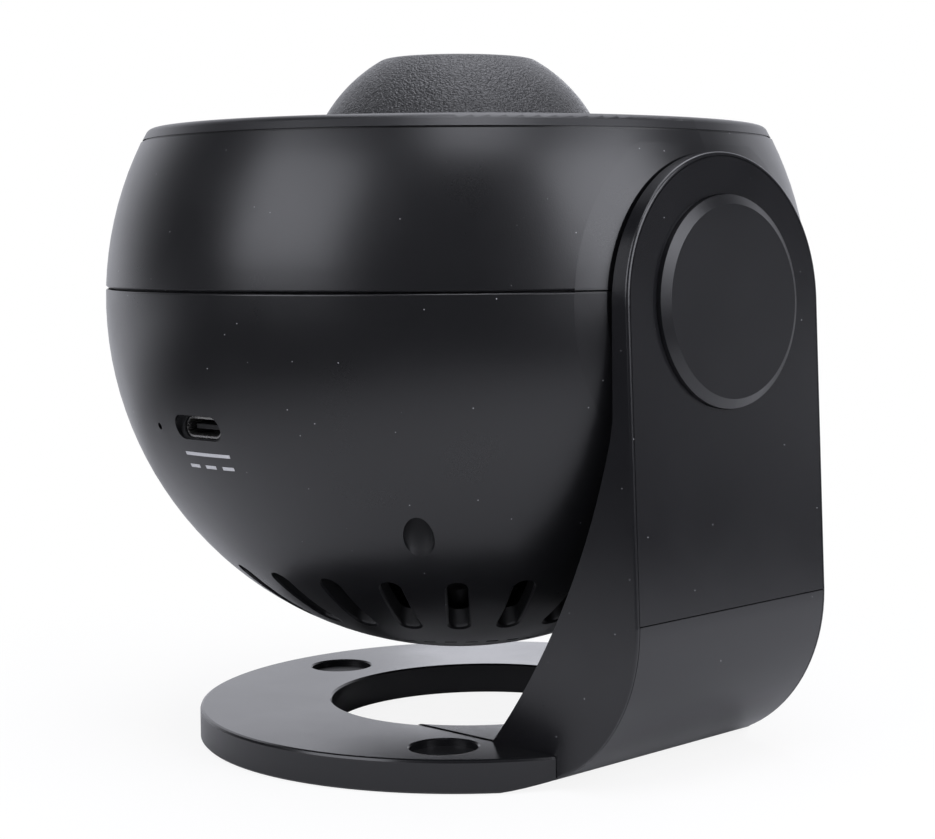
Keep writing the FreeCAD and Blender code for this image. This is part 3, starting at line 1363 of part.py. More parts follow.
def board_parts():
    disc = rod("BoardDisc", S.board_radius, S.board_thickness, ZERO, ZERO, BOARD_BOTTOM)
    tab = block("BoardTab", S.board_tab_width, S.board_tab_reach, S.board_thickness,
                S.board_tab_width / -2, -S.board_tab_reach, BOARD_BOTTOM)
    cuts = [rod("BoardHole", S.board_hole_radius, S.board_thickness * 3, ZERO, ZERO,
                BOARD_BOTTOM - S.board_thickness)]
    for index, (x, y) in enumerate(screw_spots(S.board_post_circle, BOARD_POST_ANGLES)):
        cuts.append(rod("BoardScrewHole%d" % index, S.small_screw_radius + S.fit_gap,
                        S.board_thickness * 3, x, y, BOARD_BOTTOM - S.board_thickness))
    node(without("MainBoard", joined("BoardSolid", [disc, tab]), cuts), "main_board")
    screws = [screw("BoardScrew%d" % index, S.small_screw_radius, S.small_screw_length,
                    S.small_screw_head_radius, S.small_screw_head_height, x, y, BOARD_TOP,
                    up=False)
              for index, (x, y) in enumerate(screw_spots(S.board_post_circle, BOARD_POST_ANGLES))]
    node(group("BoardScrews", screws), "board_screws")
    chip = S.chip_side
    middle = (S.board_radius + S.board_hole_radius) / 2
    chips = []
    for index, angle in enumerate(CHIP_ANGLES):
        chips.append(block("Chip%d" % index, chip, chip, S.chip_height,
                           turn_x(middle, angle) - chip / 2, turn_y(middle, angle) - chip / 2,
                           BOARD_TOP))
    node(group("Chips", chips), "board_chips")
    front = -S.port_recess_floor + S.port_shell_wall
    shell = slot_block("PortBody", S.port_shell_width, S.port_shell_height,
                       S.port_shell_length, S.port_offset, front, -S.port_drop)
    hollow = slot_block("PortHollow", S.port_shell_width - S.port_shell_wall * 2,
                        S.port_shell_height - S.port_shell_wall * 2,
                        S.port_shell_length - S.port_shell_wall * 3,
                        S.port_offset, front - S.port_shell_wall, -S.port_drop)
    node(without("PortShell", shell, [hollow]), "port_shell")
    back = front + S.port_shell_length - S.port_shell_wall * 4
    tongue = block("PortTongue", S.port_tongue_width, S.port_tongue_length,
                   S.port_tongue_height, S.port_offset - S.port_tongue_width / 2,
                   back - S.port_tongue_length, -S.port_drop - S.port_tongue_height / 2)
    heel = slot_block("PortHeel", S.port_shell_width - S.port_shell_wall * 2 - S.fit_gap,
                      S.port_shell_height - S.port_shell_wall * 2 - S.fit_gap,
                      S.port_shell_wall * 2 - S.fit_gap, S.port_offset,
                      back - S.port_shell_wall * 2, -S.port_drop)
    node(joined("PortInsert", [tongue, heel]), "port_tongue")
    lamp_back = -leg(INNER_RADIUS, S.pin_hole_drop) + S.shell_wall * 1.5
    lamp = block("StatusBody", S.status_lamp_width, S.status_lamp_length,
                 S.status_lamp_height, -S.pin_hole_offset - S.status_lamp_width / 2,
                 lamp_back, BOARD_TOP)
    pipe = rod("StatusPipe", S.pin_hole_radius - S.fit_gap, S.shell_wall * 2,
               -S.pin_hole_offset, lamp_back - S.shell_wall * 1.5, -S.pin_hole_drop, ALONG_Y)
    node(joined("StatusLight", [lamp, pipe]), "status_light")


# Stand arm

def front_outline(name, half_width):
    # the arm seen from outside: straight sides under a half circle
    return padded(name, "YZ_Plane", [
        (-half_width, -S.overrun),
        (half_width, -S.overrun),
        (half_width, S.globe_centre_height, half_width, 1),
        (ZERO, S.globe_centre_height + half_width, half_width, 1),
        (-half_width, S.globe_centre_height),
    ], S.globe_radius * 2)


def on_outer_edge(point):
    # the long edges where the arm's outer face meets its sides and its round top
    near = S.fit_gap.value
    height = S.globe_centre_height.value
    beside = abs(abs(point.y) - S.arm_half_width.value) < near and point.z < height + near
    above = abs(math.hypot(point.y, point.z - height) - S.arm_half_width.value) < near
    if point.z > S.arm_corner_height.value:
        outside = abs(point.x - arm_outer_at(point.z).value) < near
    else:
        reach = math.hypot(point.x - CORNER_CENTRE.value, point.z - S.arm_corner_height.value)
        outside = abs(reach - S.arm_corner_radius.value) < near
    return (beside or above) and outside


def arm_shell():
    # the foot stands a small step above the ring's top
    foot_low = S.ring_height - S.foot_thickness
    foot_top = S.ring_height + S.foot_step
    side = padded("ArmSide", "XZ_Plane", [
        (ARM_INNER, ARM_TOP_OVER),
        (arm_outer_at(ARM_TOP_OVER), ARM_TOP_OVER),
        (ARM_OUTER_FOOT, S.arm_corner_height, S.arm_corner_radius, -1),
        (HEEL_X, S.ring_lift),
        (S.foot_heel_distance, S.ring_lift),
        (S.foot_heel_distance, foot_low),
        (S.ring_centre_distance, foot_low),
        (S.ring_centre_distance, foot_top),
        (S.arm_flare_foot, foot_top, S.arm_flare_radius, 1),
        (ARM_INNER - S.arm_flare_top_inset, S.arm_flare_top),
        (ARM_INNER, S.arm_flare_top + S.arm_flare_blend),
    ], S.arm_half_width * 2 + S.overrun, True)
    raw = shared("ArmRaw", [side, front_outline("ArmFront", S.arm_half_width)])
    solid = eased("ArmSolid", raw, on_outer_edge, S.arm_edge_round, "Part::Fillet")
    wall_x = ARM_INNER + S.arm_inner_wall
    hollow_side = padded("ArmHollowSide", "XZ_Plane", [
        (wall_x, ARM_TOP_OVER),
        (S.globe_radius * 1.5, ARM_TOP_OVER),
        (S.globe_radius * 1.5, -S.overrun),
        (S.foot_root_distance, -S.overrun),
        (S.foot_root_distance, S.ring_height * 2),
        (S.foot_root_distance + S.arm_side_wall * 2, S.ring_height * 4, S.arm_flare_radius, 1),
        (wall_x, S.arm_flare_top - S.arm_side_wall * 2),
    ], S.arm_half_width * 2, True)
    hollow = shared("ArmHollow", [
        hollow_side, front_outline("ArmHollowFront", S.arm_half_width - S.arm_side_wall)])
    seat_z = S.arm_corner_height - leg(SEAT_RADIUS, HEEL_X - CORNER_CENTRE)
    rebate_side = padded("ArmRebateSide", "XZ_Plane", [
        (arm_outer_at(ARM_TOP_OVER) - S.cover_thickness, ARM_TOP_OVER),
        (S.globe_radius * 1.5, ARM_TOP_OVER),
        (S.globe_radius * 1.5, -S.overrun),
        (HEEL_X, -S.overrun),
        (HEEL_X, seat_z, SEAT_RADIUS, 1),
        (ARM_OUTER_FOOT - S.cover_thickness, S.arm_corner_height),
    ], S.arm_half_width * 2, True)
    rebate = shared("ArmRebate", [
        rebate_side, front_outline("ArmRebateFront", S.arm_half_width - S.arm_lip)])
    swept = shared("GlobeSweep", [
        ball("GlobeSweepBall", S.globe_radius + S.arm_hollow_gap, S.globe_centre_height),
        block("GlobeSweepSide", S.globe_radius * 2, S.globe_radius * 4, S.globe_radius * 4,
              ARM_INNER - S.globe_radius * 2 - S.fit_gap, S.globe_radius * -2,
              -S.globe_radius)])
    cuts = [hollow, rebate, swept,
            rod("ArmRingHole", S.ring_hole_radius, S.ring_height * 3, S.ring_centre_distance,
                ZERO, -S.ring_height),
            rod("ArmPivotHole", S.pivot_shank_radius + S.fit_gap, S.overrun * 4,
                ARM_INNER - S.overrun, ZERO, S.globe_centre_height, ALONG_X)]
    side_trim = S.arm_half_width - S.foot_half_width + S.overrun
    for sign in (-1, 1):
        start = S.foot_half_width if sign > 0 else -S.foot_half_width - side_trim
        cuts.append(block("FootTrim%d" % (sign + 1), S.foot_heel_distance + S.overrun * 2,
                          side_trim, S.ring_height + S.overrun, -S.overrun * 2, start,
                          -S.overrun))
    for index, (x, y) in enumerate(foot_screw_spots()):
        cuts.append(rod("FootPilot%d" % index, S.foot_screw_radius, S.foot_screw_length,
                        x, y, foot_screw_seat()))
    trimmed = without("ArmShell", solid, cuts)
    node(trimmed, "arm_shell", in_globe=False)


def foot_screw_spots():
    return [(S.foot_screw_distance, offset * sign)
            for offset in (S.foot_screw_outer_offset, S.foot_screw_inner_offset)
            for sign in (-1, 1)]


def foot_screw_seat():
    return S.mat_thickness + S.foot_screw_head_height + S.pivot_fit


def arm_covers():
    seam_low = S.cover_seam_height - S.cover_seam_gap / 2
    seam_high = S.cover_seam_height + S.cover_seam_gap / 2
    inset = S.arm_half_width - S.arm_lip - S.cover_gap
    band = padded("CoverBand", "XZ_Plane", [
        (arm_outer_at(ARM_TOP_OVER) - S.cover_thickness, ARM_TOP_OVER),
        (arm_outer_at(ARM_TOP_OVER), ARM_TOP_OVER),
        (arm_outer_at(seam_high), seam_high),
        (arm_outer_at(seam_high) - S.cover_thickness, seam_high),
    ], S.arm_half_width * 2, True)
    plate = shared("CoverPlate", [band, front_outline("CoverFront", inset)])
    hole = rod("CapHole", S.cap_radius + S.cap_gap, S.overrun * 2,
               CAP_SEAT - S.overrun, ZERO, S.globe_centre_height, ALONG_X)
    node(without("ArmCover", plate, [hole]), "arm_cover", in_globe=False)
    start_x = HEEL_X + S.cover_gap
    outer_z = S.arm_corner_height - leg(S.arm_corner_radius, start_x - CORNER_CENTRE)
    seat_z = S.arm_corner_height - leg(SEAT_RADIUS, start_x - CORNER_CENTRE)
    low_band = padded("LowBand", "XZ_Plane", [
        (arm_outer_at(seam_low), seam_low),
        (ARM_OUTER_FOOT, S.arm_corner_height, S.arm_corner_radius, -1),
        (start_x, outer_z),
        (start_x, seat_z, SEAT_RADIUS, 1),
        (ARM_OUTER_FOOT - S.cover_thickness, S.arm_corner_height),
        (arm_outer_at(seam_low) - S.cover_thickness, seam_low),
    ], S.arm_half_width * 2, True)
    lower = shared("ArmLowerCover", [low_band, front_outline("LowFront", inset)])
    node(lower, "arm_lower_cover", in_globe=False)


def pivot_parts():
    cap = turned("PivotCap", [
        (ZERO, S.cap_height),
        (ZERO, S.cap_height - S.cap_face_wall),
        (S.cap_radius - S.cap_wall, S.cap_height - S.cap_face_wall),
        (S.cap_radius - S.cap_wall, S.fit_gap - S.cover_thickness),
        (S.cap_radius, S.fit_gap - S.cover_thickness),
        (S.cap_radius, S.cap_edge_height),
        (S.cap_face_radius, S.cap_height),
    ])
    lean = FreeCAD.Rotation(FreeCAD.Vector(0, 1, 0), 90.0 - LEAN_ANGLE)
    node(cap, "pivot_cap", x=CAP_SEAT, rotation=lean)
    head_x = ARM_INNER + S.arm_inner_wall
    end_x = S.side_flat_distance - S.hub_length - S.spring_washer_thickness - \
        S.pivot_washer_gap * 2 - S.nut_thickness - S.pivot_end_length
    shank = rod("BoltShank", S.pivot_shank_radius, head_x - end_x, end_x, ZERO, ZERO, ALONG_X)
    head = rod("BoltHead", S.pivot_head_radius, S.pivot_head_thickness, head_x, ZERO, ZERO,
               ALONG_X)
    slot = block("BoltSlot", S.pivot_head_thickness / 2, S.pivot_head_radius * 2,
                 S.pivot_head_thickness / 2, head_x + S.pivot_head_thickness / 2,
                 -S.pivot_head_radius, S.pivot_head_thickness / -4)
    node(without("PivotBolt", joined("BoltSolid", [shank, head]), [slot]), "pivot_bolt")
    bore = S.pivot_shank_radius + S.fit_gap
    gap = S.pivot_washer_gap
    washer = turned("FrictionWasher", [
        (bore, gap),
        (S.pivot_washer_radius, gap),
        (S.pivot_washer_radius, S.arm_gap - gap),
        (bore, S.arm_gap - gap),
    ])
    node(washer, "friction_washer", x=S.side_flat_distance, rotation=ALONG_X)
    spring = turned("SpringWasher", [
        (bore, ZERO),
        (S.spring_washer_radius, S.spring_washer_dish),
        (S.spring_washer_radius, S.spring_washer_thickness),
        (bore, S.spring_washer_thickness - S.spring_washer_dish),
    ])
    spring_x = S.side_flat_distance - S.hub_length - gap - S.spring_washer_thickness
    node(spring, "spring_washer", x=spring_x, rotation=ALONG_X)
    nut_x = spring_x - gap - S.nut_thickness
    across = S.nut_width / math.sqrt(3)
    corners = [(turn_x(across, angle), turn_y(across, angle)) for angle in range(0, 360, 60)]
    prism = padded("NutPrism", "XY_Plane", corners, S.nut_thickness)
    hole = rod("NutHole", S.pivot_shank_radius + S.pivot_fit / 2, S.nut_thickness * 3,
               ZERO, ZERO, -S.nut_thickness)
    node(without("PivotNut", prism, [hole]), "pivot_nut", x=nut_x, rotation=ALONG_X)


# Base ring

def base_parts():
    # two narrow bevels stand for the small round along the top edge
    bevel = S.ring_edge_bevel
    bevel_middle = bevel * ROUND_SHARE
    ring = turned("RingBlank", [
        (S.ring_hole_radius, S.ring_lift),
        (S.ring_radius - S.ring_chamfer, S.ring_lift),
        (S.ring_radius, S.ring_lift + S.ring_chamfer),
        (S.ring_radius, S.ring_height - bevel),
        (S.ring_radius - bevel_middle, S.ring_height - bevel_middle),
        (S.ring_radius - bevel, S.ring_height),
        (S.ring_hole_radius + S.ring_chamfer, S.ring_height),
        (S.ring_hole_radius, S.ring_height - S.ring_chamfer),
    ])
    place(ring, S.ring_centre_distance)
    mat_top = S.mat_thickness
    mat_in = S.ring_hole_radius + S.mat_margin
    mat_out = S.ring_radius - S.mat_margin
    well = turned("MatWell", [
        (mat_in - S.fit_gap, -S.overrun),
        (mat_out + S.fit_gap, -S.overrun),
        (mat_out + S.fit_gap, mat_top),
        (mat_in - S.fit_gap, mat_top),
    ])
    place(well, S.ring_centre_distance)
    heel = S.foot_heel_distance - S.foot_gap
    mat_end = heel - S.mat_thickness
    well = without("MatWellCut", well, [
        block("MatWellEnd", S.ring_radius * 2, S.ring_radius * 2, S.ring_height * 3,
              mat_end + S.fit_gap, -S.ring_radius, -S.ring_height)])
    # beside the arm the ring ends on the same rounded heel as the arm
    heel_form = padded("RingHeel", "XZ_Plane", [
        (HEEL_X, S.ring_lift, S.arm_corner_radius, 1),
        (ARM_OUTER_FOOT, S.arm_corner_height),
        (S.ring_radius * 2, S.arm_corner_height),
        (S.ring_radius * 2, -S.overrun),
        (HEEL_X, -S.overrun),
    ], S.ring_radius * 2, True)
    strip = S.arm_half_width + S.foot_gap
    foot_low = S.ring_height - S.foot_thickness
    foot_width = S.foot_half_width + S.foot_gap
    dimples = [(-S.dimple_back_distance, ZERO)]
    for sign in (-1, 1):
        dimples.append((S.dimple_side_distance, S.dimple_side_offset * sign))
    cuts = [
        well,
        heel_form,
        block("RingStrip", S.ring_radius * 2, strip * 2, S.ring_height * 3, heel, -strip,
              -S.ring_height),
        block("RingFootPocket", S.ring_radius * 2, foot_width * 2, S.ring_height * 3,
              S.ring_centre_distance, -foot_width, foot_low),
    ]
    for index, (x, y) in enumerate(dimples):
        dimple = turned("Dimple%d" % index, [
            (ZERO, S.ring_height - S.dimple_depth),
            (S.dimple_radius, S.ring_height - S.dimple_depth),
            (S.dimple_radius, S.ring_height - S.dimple_edge),
            (S.dimple_radius + S.dimple_edge, S.ring_height),
            (S.dimple_radius + S.dimple_edge, S.ring_height + S.overrun),
            (ZERO, S.ring_height + S.overrun),
        ])
        cuts.append(place(dimple, x, y))
    for index, (x, y) in enumerate(foot_screw_spots()):
        cuts.append(rod("FootClear%d" % index, S.foot_screw_radius + S.fit_gap,
                        S.ring_height * 3, x, y, -S.ring_height))
        cuts.append(rod("FootWell%d" % index, S.foot_screw_head_radius + S.fit_gap,
                        S.ring_height + foot_screw_seat(), x, y, -S.ring_height))
    node(without("BaseRing", ring, cuts), "base_ring", in_globe=False)
    mat = turned("MatBlank", [
        (mat_in, ZERO),
        (mat_out, ZERO),
        (mat_out, mat_top),
        (mat_in, mat_top),
    ])
    place(mat, S.ring_centre_distance)
    trim = block("MatTrim", S.ring_radius * 2, S.ring_radius * 2, S.ring_height * 3,
                 mat_end, -S.ring_radius, -S.ring_height)
    node(without("BaseMat", mat, [trim]), "base_mat", in_globe=False)
    screws = [screw("FootScrew%d" % index, S.foot_screw_radius, S.foot_screw_length,
                    S.foot_screw_head_radius, S.foot_screw_head_height, x, y,
                    foot_screw_seat())
              for index, (x, y) in enumerate(foot_screw_spots())]
    node(group("FootScrews", screws), "foot_screws", in_globe=False)


def build():
    base_parts()
    arm_shell()
    arm_covers()
    pivot_parts()
    lower_shell()
    upper_shell()
    rim_parts()
    shell_screws()
    deck_buttons()
    focus_dome()
    lens_barrel()
    lens_guide()
    optics_frame()
    lamp_parts()
    film_parts()
    fan_parts()
    board_parts()
    doc.recompute()


def check_and_export():
    for thing in doc.Objects:
        if "Invalid" in thing.State or "Error" in thing.State:
            raise RuntimeError("%s is %s" % (thing.Label, thing.State))
    for thing in NODES:
        if thing.Shape.isNull() or not thing.Shape.isValid() or not thing.Shape.Solids:
            raise RuntimeError("%s has no valid shape" % thing.Label)
    os.makedirs("parts", exist_ok=True)
    for thing in NODES:
        thing.Shape.exportStep("parts/%s.step" % thing.Label)
        print("%-22s solids %2d volume %9.1f mm3" % (
            thing.Label, len(thing.Shape.Solids), thing.Shape.Volume))


build()
check_and_export()
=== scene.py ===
import math

import bpy
from mathutils import Matrix, Vector


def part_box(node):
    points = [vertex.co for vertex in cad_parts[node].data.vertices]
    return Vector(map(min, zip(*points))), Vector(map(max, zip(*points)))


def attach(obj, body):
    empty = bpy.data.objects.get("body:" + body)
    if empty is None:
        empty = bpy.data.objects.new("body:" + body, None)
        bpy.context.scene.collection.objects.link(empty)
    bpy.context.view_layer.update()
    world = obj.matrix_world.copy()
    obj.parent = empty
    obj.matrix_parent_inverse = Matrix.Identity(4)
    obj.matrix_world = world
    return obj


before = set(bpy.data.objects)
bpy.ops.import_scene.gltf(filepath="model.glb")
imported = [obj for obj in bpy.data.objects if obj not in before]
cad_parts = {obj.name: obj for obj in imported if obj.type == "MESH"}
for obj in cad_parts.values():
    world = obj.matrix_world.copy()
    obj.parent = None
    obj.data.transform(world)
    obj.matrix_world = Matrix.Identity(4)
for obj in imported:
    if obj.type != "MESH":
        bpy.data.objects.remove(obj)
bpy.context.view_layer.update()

MM = 0.001

# Photograph and camera: the picture and its optical centre in pixels, angles in degrees

IMAGE_WIDTH = 935
IMAGE_HEIGHT = 839
FOCAL_PIXELS = 2110.6
CENTRE_X = 578.77
CENTRE_Y = 328.10
CAMERA_YAW = 43.173
CAMERA_PITCH = 2.478
CAMERA_ROLL = -0.425
SENSOR_MM = 36.0
CLIP_NEAR = 0.01
CLIP_FAR = 30.0

# The globe, from which the camera, the printed mark and the lamps are set out, in metres

DOME_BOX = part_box("focus_dome")
GLOBE_AXIS_X = (DOME_BOX[0].x + DOME_BOX[1].x) / 2
GLOBE_RADIUS = 60.0 * MM
GLOBE_HEIGHT = 74.3 * MM
GLOBE_CENTRE = Vector((GLOBE_AXIS_X, 0.0, GLOBE_HEIGHT))

# Place of the camera, fitted to the outlines in the photograph

CAMERA_PLACE = Vector((GLOBE_AXIS_X + 265.192 * MM, -252.787 * MM, 84.443 * MM))


def level(direction):
    # a direction with its upright part taken out
    return Vector((direction.x, direction.y, 0.0))


def camera_axes():
    # the camera's right, up and forward directions
    yaw, pitch, roll = (math.radians(angle) for angle in (CAMERA_YAW, CAMERA_PITCH, CAMERA_ROLL))
    forward = Vector((-math.sin(yaw) * math.cos(pitch), math.cos(yaw) * math.cos(pitch), -math.sin(pitch)))
    right = Vector((math.cos(yaw), math.sin(yaw), 0.0))
    up = right.cross(forward)
    return (right * math.cos(roll) + up * math.sin(roll),
            up * math.cos(roll) - right * math.sin(roll), forward)


CAMERA_RIGHT, CAMERA_UP, CAMERA_FORWARD = camera_axes()


def make_camera():
    data = bpy.data.cameras.new("photo_camera")
    data.sensor_fit = "HORIZONTAL"
    data.sensor_width = SENSOR_MM
    data.lens = FOCAL_PIXELS / IMAGE_WIDTH * SENSOR_MM
    data.shift_x = (IMAGE_WIDTH / 2 - CENTRE_X) / IMAGE_WIDTH
    data.shift_y = (CENTRE_Y - IMAGE_HEIGHT / 2) / IMAGE_WIDTH
    data.clip_start = CLIP_NEAR
    data.clip_end = CLIP_FAR
    camera = bpy.data.objects.new("photo_camera", data)
    bpy.context.collection.objects.link(camera)
    turn = Matrix((CAMERA_RIGHT, CAMERA_UP, -CAMERA_FORWARD)).transposed().to_4x4()
    camera.matrix_world = Matrix.Translation(CAMERA_PLACE) @ turn
    bpy.context.scene.camera = camera


# Shader nodes of a material or of the world

# The Mix node has two inputs and a result of its own for each kind of data
MIX_SOCKETS = {"FLOAT": (2, 3, 0), "VECTOR": (4, 5, 1), "RGBA": (6, 7, 2)}
# Most values of a noise lie between these
MOST_OF_NOISE = (0.3, 0.7)


def shade(color, factor):
    return tuple(min(channel * factor, 1.0) for channel in color)


class Nodes:
    def __init__(self, owner, output="OutputMaterial", place="Object"):
        owner.use_nodes = True
        self.owner = owner
        self.tree = owner.node_tree
        self.tree.nodes.clear()
        self.output = self.add(output)
        self.place = self.add("TexCoord").outputs[place]

    def add(self, kind):
        return self.tree.nodes.new("ShaderNode" + kind)

    def feed(self, socket, value):
        # the output of a node is linked to the socket, and a plain value is set on it
        if isinstance(value, bpy.types.NodeSocket):
            self.tree.links.new(value, socket)
        elif socket.type == "RGBA":
            socket.default_value = (*value, 1.0)
        else:
            socket.default_value = value

    def finish(self, surface):
        self.feed(self.output.inputs["Surface"], surface)
        return self.owner

    def shader(self, color, rough, normal=None, metal=0.0, specular=0.5, **others):
        node = self.add("BsdfPrincipled")
        self.feed(node.inputs["Base Color"], color)
        self.feed(node.inputs["Roughness"], rough)
        self.feed(node.inputs["Metallic"], metal)
        self.feed(node.inputs["Specular IOR Level"], specular)
        for socket, value in others.items():
            self.feed(node.inputs[socket.replace("_", " ")], value)
        if normal:
            self.feed(node.inputs["Normal"], normal)
        return node.outputs["BSDF"]

    def stretch(self, scale):
        node = self.add("Mapping")
        self.feed(node.inputs["Scale"], scale)
        self.feed(node.inputs["Vector"], self.place)
        return node.outputs["Vector"]

    def noise(self, size_mm, detail, place=None, output="Fac"):
        node = self.add("TexNoise")
        self.feed(node.inputs["Scale"], 1.0 / (size_mm * MM))
        self.feed(node.inputs["Detail"], detail)
        self.feed(node.inputs["Vector"], place or self.place)
        return node.outputs[output]

    def cells(self, size_mm, feature="F1", place=None):
        node = self.add("TexVoronoi")
        node.feature = feature
        self.feed(node.inputs["Scale"], 1.0 / (size_mm * MM))
        self.feed(node.inputs["Vector"], place or self.place)
        return node.outputs["Distance"]

    def spread(self, source, low, high, between=MOST_OF_NOISE, kind="LINEAR"):
        # runs from low to high where the source lies between two values
        node = self.add("MapRange")
        node.interpolation_type = kind
        self.feed(node.inputs["From Min"], between[0])
        self.feed(node.inputs["From Max"], between[1])
        self.feed(node.inputs["To Min"], low)
        self.feed(node.inputs["To Max"], high)
        self.feed(node.inputs["Value"], source)
        return node.outputs["Result"]

    def mix(self, kind, factor, first, second):
        node = self.add("Mix")
        node.data_type = kind
        first_input, second_input, result = MIX_SOCKETS[kind]
        self.feed(node.inputs[0], factor)
        self.feed(node.inputs[first_input], first)
        self.feed(node.inputs[second_input], second)
        return node.outputs[result]

    def tint(self, pattern, color, darkest, lightest):
        return self.mix("RGBA", pattern, shade(color, darkest), shade(color, lightest))

    def math(self, operation, first, second):
        node = self.add("Math")
        node.operation = operation
        self.feed(node.inputs[0], first)
        self.feed(node.inputs[1], second)
        return node.outputs[0]

    def measure(self, operation, first, second):
        # the distance of two places, or the dot product of two directions
        node = self.add("VectorMath")
        node.operation = operation
        self.feed(node.inputs[0], first)
        self.feed(node.inputs[1], second)
        return node.outputs["Value"]

    def upright(self, vector):
        # the upright part of a place or a direction
        node = self.add("SeparateXYZ")
        self.feed(node.inputs[0], vector)
        return node.outputs["Z"]

    def bump(self, height, depth_mm):
        node = self.add("Bump")
        self.feed(node.inputs["Strength"], 1.0)
        self.feed(node.inputs["Distance"], depth_mm * MM)
        self.feed(node.inputs["Height"], height)
        return node.outputs["Normal"]


def material_nodes(name):
    return Nodes(bpy.data.materials.new(name))


# Plastics: the flow of the moulding, its spark grain, and specks of dust measured in cells

FLOW_MM = 14.0
GRAIN_MM = 0.22
FLOW_SHARE = 0.6
GRAIN_SHARE = 0.4
VARIATION = 0.12
GLOSS_SWING = 0.035
DUST_COLOR = (0.30, 0.30, 0.31)
DUST_SPACING_MM = 3.2
DUST_EDGE = (0.015, 0.04)

# Inside its outer skin the shell is left matt, as at the walls of its openings

MATT_WALL_ROUGHER = 0.28
SKIN_DEPTH = 0.4 * MM
MATT_DEPTH = 0.7 * MM
SHELL_SKIN = (GLOBE_RADIUS - MATT_DEPTH, GLOBE_RADIUS - SKIN_DEPTH)

# The recesses in the base ring have matt floors, which face up and lie below one height

RECESS_FLOOR_HEIGHT = 4.5 * MM
RECESS_FADE = 0.2 * MM
FACES_UP = (0.90, 0.99)
RECESS_ROUGHER = 0.3
RECESS_GRAIN_MM = 0.3
RING_GRAIN_SHARE = 0.1
RING_GRAIN_DEPTH_MM = 0.03

# Leather grain of the dome: pebbles of one size, each bent by up to the warp

LEATHER_CELL_MM = 0.33
LEATHER_DEPTH_MM = 0.14
LEATHER_WARP_CELLS = 1.6
LEATHER_WARP = 0.65 * MM
LEATHER_ROUGHER = 0.12
LEATHER_SMOOTHER = 0.04
PEBBLE_EDGE = (0.15, 0.75)
LEATHER_FINE_MM = 0.12
LEATHER_FINE_SHARE = 0.12

# Streaks of metal are drawn out along the axis whose scale is small

STREAK_SMOOTHER = 0.06
STREAK_ROUGHER = 0.08
STREAKS_UPRIGHT = (1.0, 1.0, 0.05)
STREAKS_ALONG_X = (0.05, 1.0, 1.0)
STREAKS_ALONG_Y = (1.0, 0.08, 1.0)


def uneven_gloss(n, flow, grain, rough):
    uneven = n.math("ADD", n.math("MULTIPLY", flow, FLOW_SHARE), n.math("MULTIPLY", grain, GRAIN_SHARE))
    return n.spread(uneven, rough - GLOSS_SWING, rough + GLOSS_SWING)


def moulded_plastic(name, color, rough, grain_mm=GRAIN_MM, grain_depth_mm=0.008,
                    variation=VARIATION, dust=False, shell=False):
    # a satin moulding: fine spark grain, faint flow variation in tone and gloss, and where it
    # is handled a few pale specks of dust
    n = material_nodes(name)
    flow = n.noise(FLOW_MM, detail=3.0)
    grain = n.noise(grain_mm, detail=2.0)
    tone = n.tint(flow, color, darkest=1.0 - variation, lightest=1.0 + variation)
    gloss = uneven_gloss(n, flow, grain, rough)
    if dust:
        specks = n.spread(n.cells(DUST_SPACING_MM), low=1.0, high=0.0, between=DUST_EDGE)
        tone = n.mix("RGBA", specks, tone, DUST_COLOR)
    if shell:
        reach = n.measure("DISTANCE", n.place, GLOBE_CENTRE)
        gloss = n.math("ADD", gloss, n.spread(reach, MATT_WALL_ROUGHER, 0.0, between=SHELL_SKIN))
    return n.finish(n.shader(tone, gloss, n.bump(grain, grain_depth_mm)))


def ring_plastic(name, color, rough):
    # smooth top and sides, and matt floors in the recesses
    n = material_nodes(name)
    flow = n.noise(FLOW_MM, detail=3.0)
    grain = n.noise(GRAIN_MM, detail=2.0)
    floor_edge = (RECESS_FLOOR_HEIGHT, RECESS_FLOOR_HEIGHT + RECESS_FADE)
    low = n.spread(n.upright(n.place), 1.0, 0.0, between=floor_edge)
    facing = n.upright(n.add("NewGeometry").outputs["Normal"])
    matt = n.math("MULTIPLY", low, n.spread(facing, 0.0, 1.0, between=FACES_UP))
    tone = n.tint(flow, color, darkest=1.0 - VARIATION, lightest=1.0 + VARIATION)
    gloss = n.math("ADD", uneven_gloss(n, flow, grain, rough), n.math("MULTIPLY", matt, RECESS_ROUGHER))
    height = n.math("ADD", n.math("MULTIPLY", grain, RING_GRAIN_SHARE),
                    n.math("MULTIPLY", n.noise(RECESS_GRAIN_MM, detail=3.0), matt))
    return n.finish(n.shader(tone, gloss, n.bump(height, RING_GRAIN_DEPTH_MM)))


def leather_plastic(name, color, rough):
    # a moulded leather grain: small rounded pebbles between furrows; its tone has painted shade darkening
    # the furrows and painted light on the pebble tops
    n = material_nodes(name)
    warp = n.noise(LEATHER_CELL_MM * LEATHER_WARP_CELLS, detail=1.0, output="Color")
    bent = n.mix("VECTOR", LEATHER_WARP, n.place, warp)
    pebbles = n.spread(n.cells(LEATHER_CELL_MM, "SMOOTH_F1", bent), 1.0, 0.0, between=PEBBLE_EDGE)
    fine = n.noise(LEATHER_FINE_MM, detail=2.0)
    height = n.math("ADD", pebbles, n.math("MULTIPLY", fine, LEATHER_FINE_SHARE))
    # painted shade and light: the tone follows the pebbles, darker in the furrows and lighter on the tops
    tone = n.tint(pebbles, color, darkest=0.7, lightest=1.2)
    gloss = n.spread(pebbles, rough + LEATHER_ROUGHER, rough - LEATHER_SMOOTHER, between=(0.0, 1.0))
    return n.finish(n.shader(tone, gloss, n.bump(height, LEATHER_DEPTH_MM)))


def rubber(name, color):
    n = material_nodes(name)
    patches = n.noise(size_mm=3.0, detail=4.0)
    tone = n.tint(patches, color, darkest=0.75, lightest=1.3)
    gloss = n.spread(patches, low=0.72, high=0.88)
    grain = n.bump(n.noise(size_mm=0.35, detail=3.0), depth_mm=0.03)
    return n.finish(n.shader(tone, gloss, grain, specular=0.3))


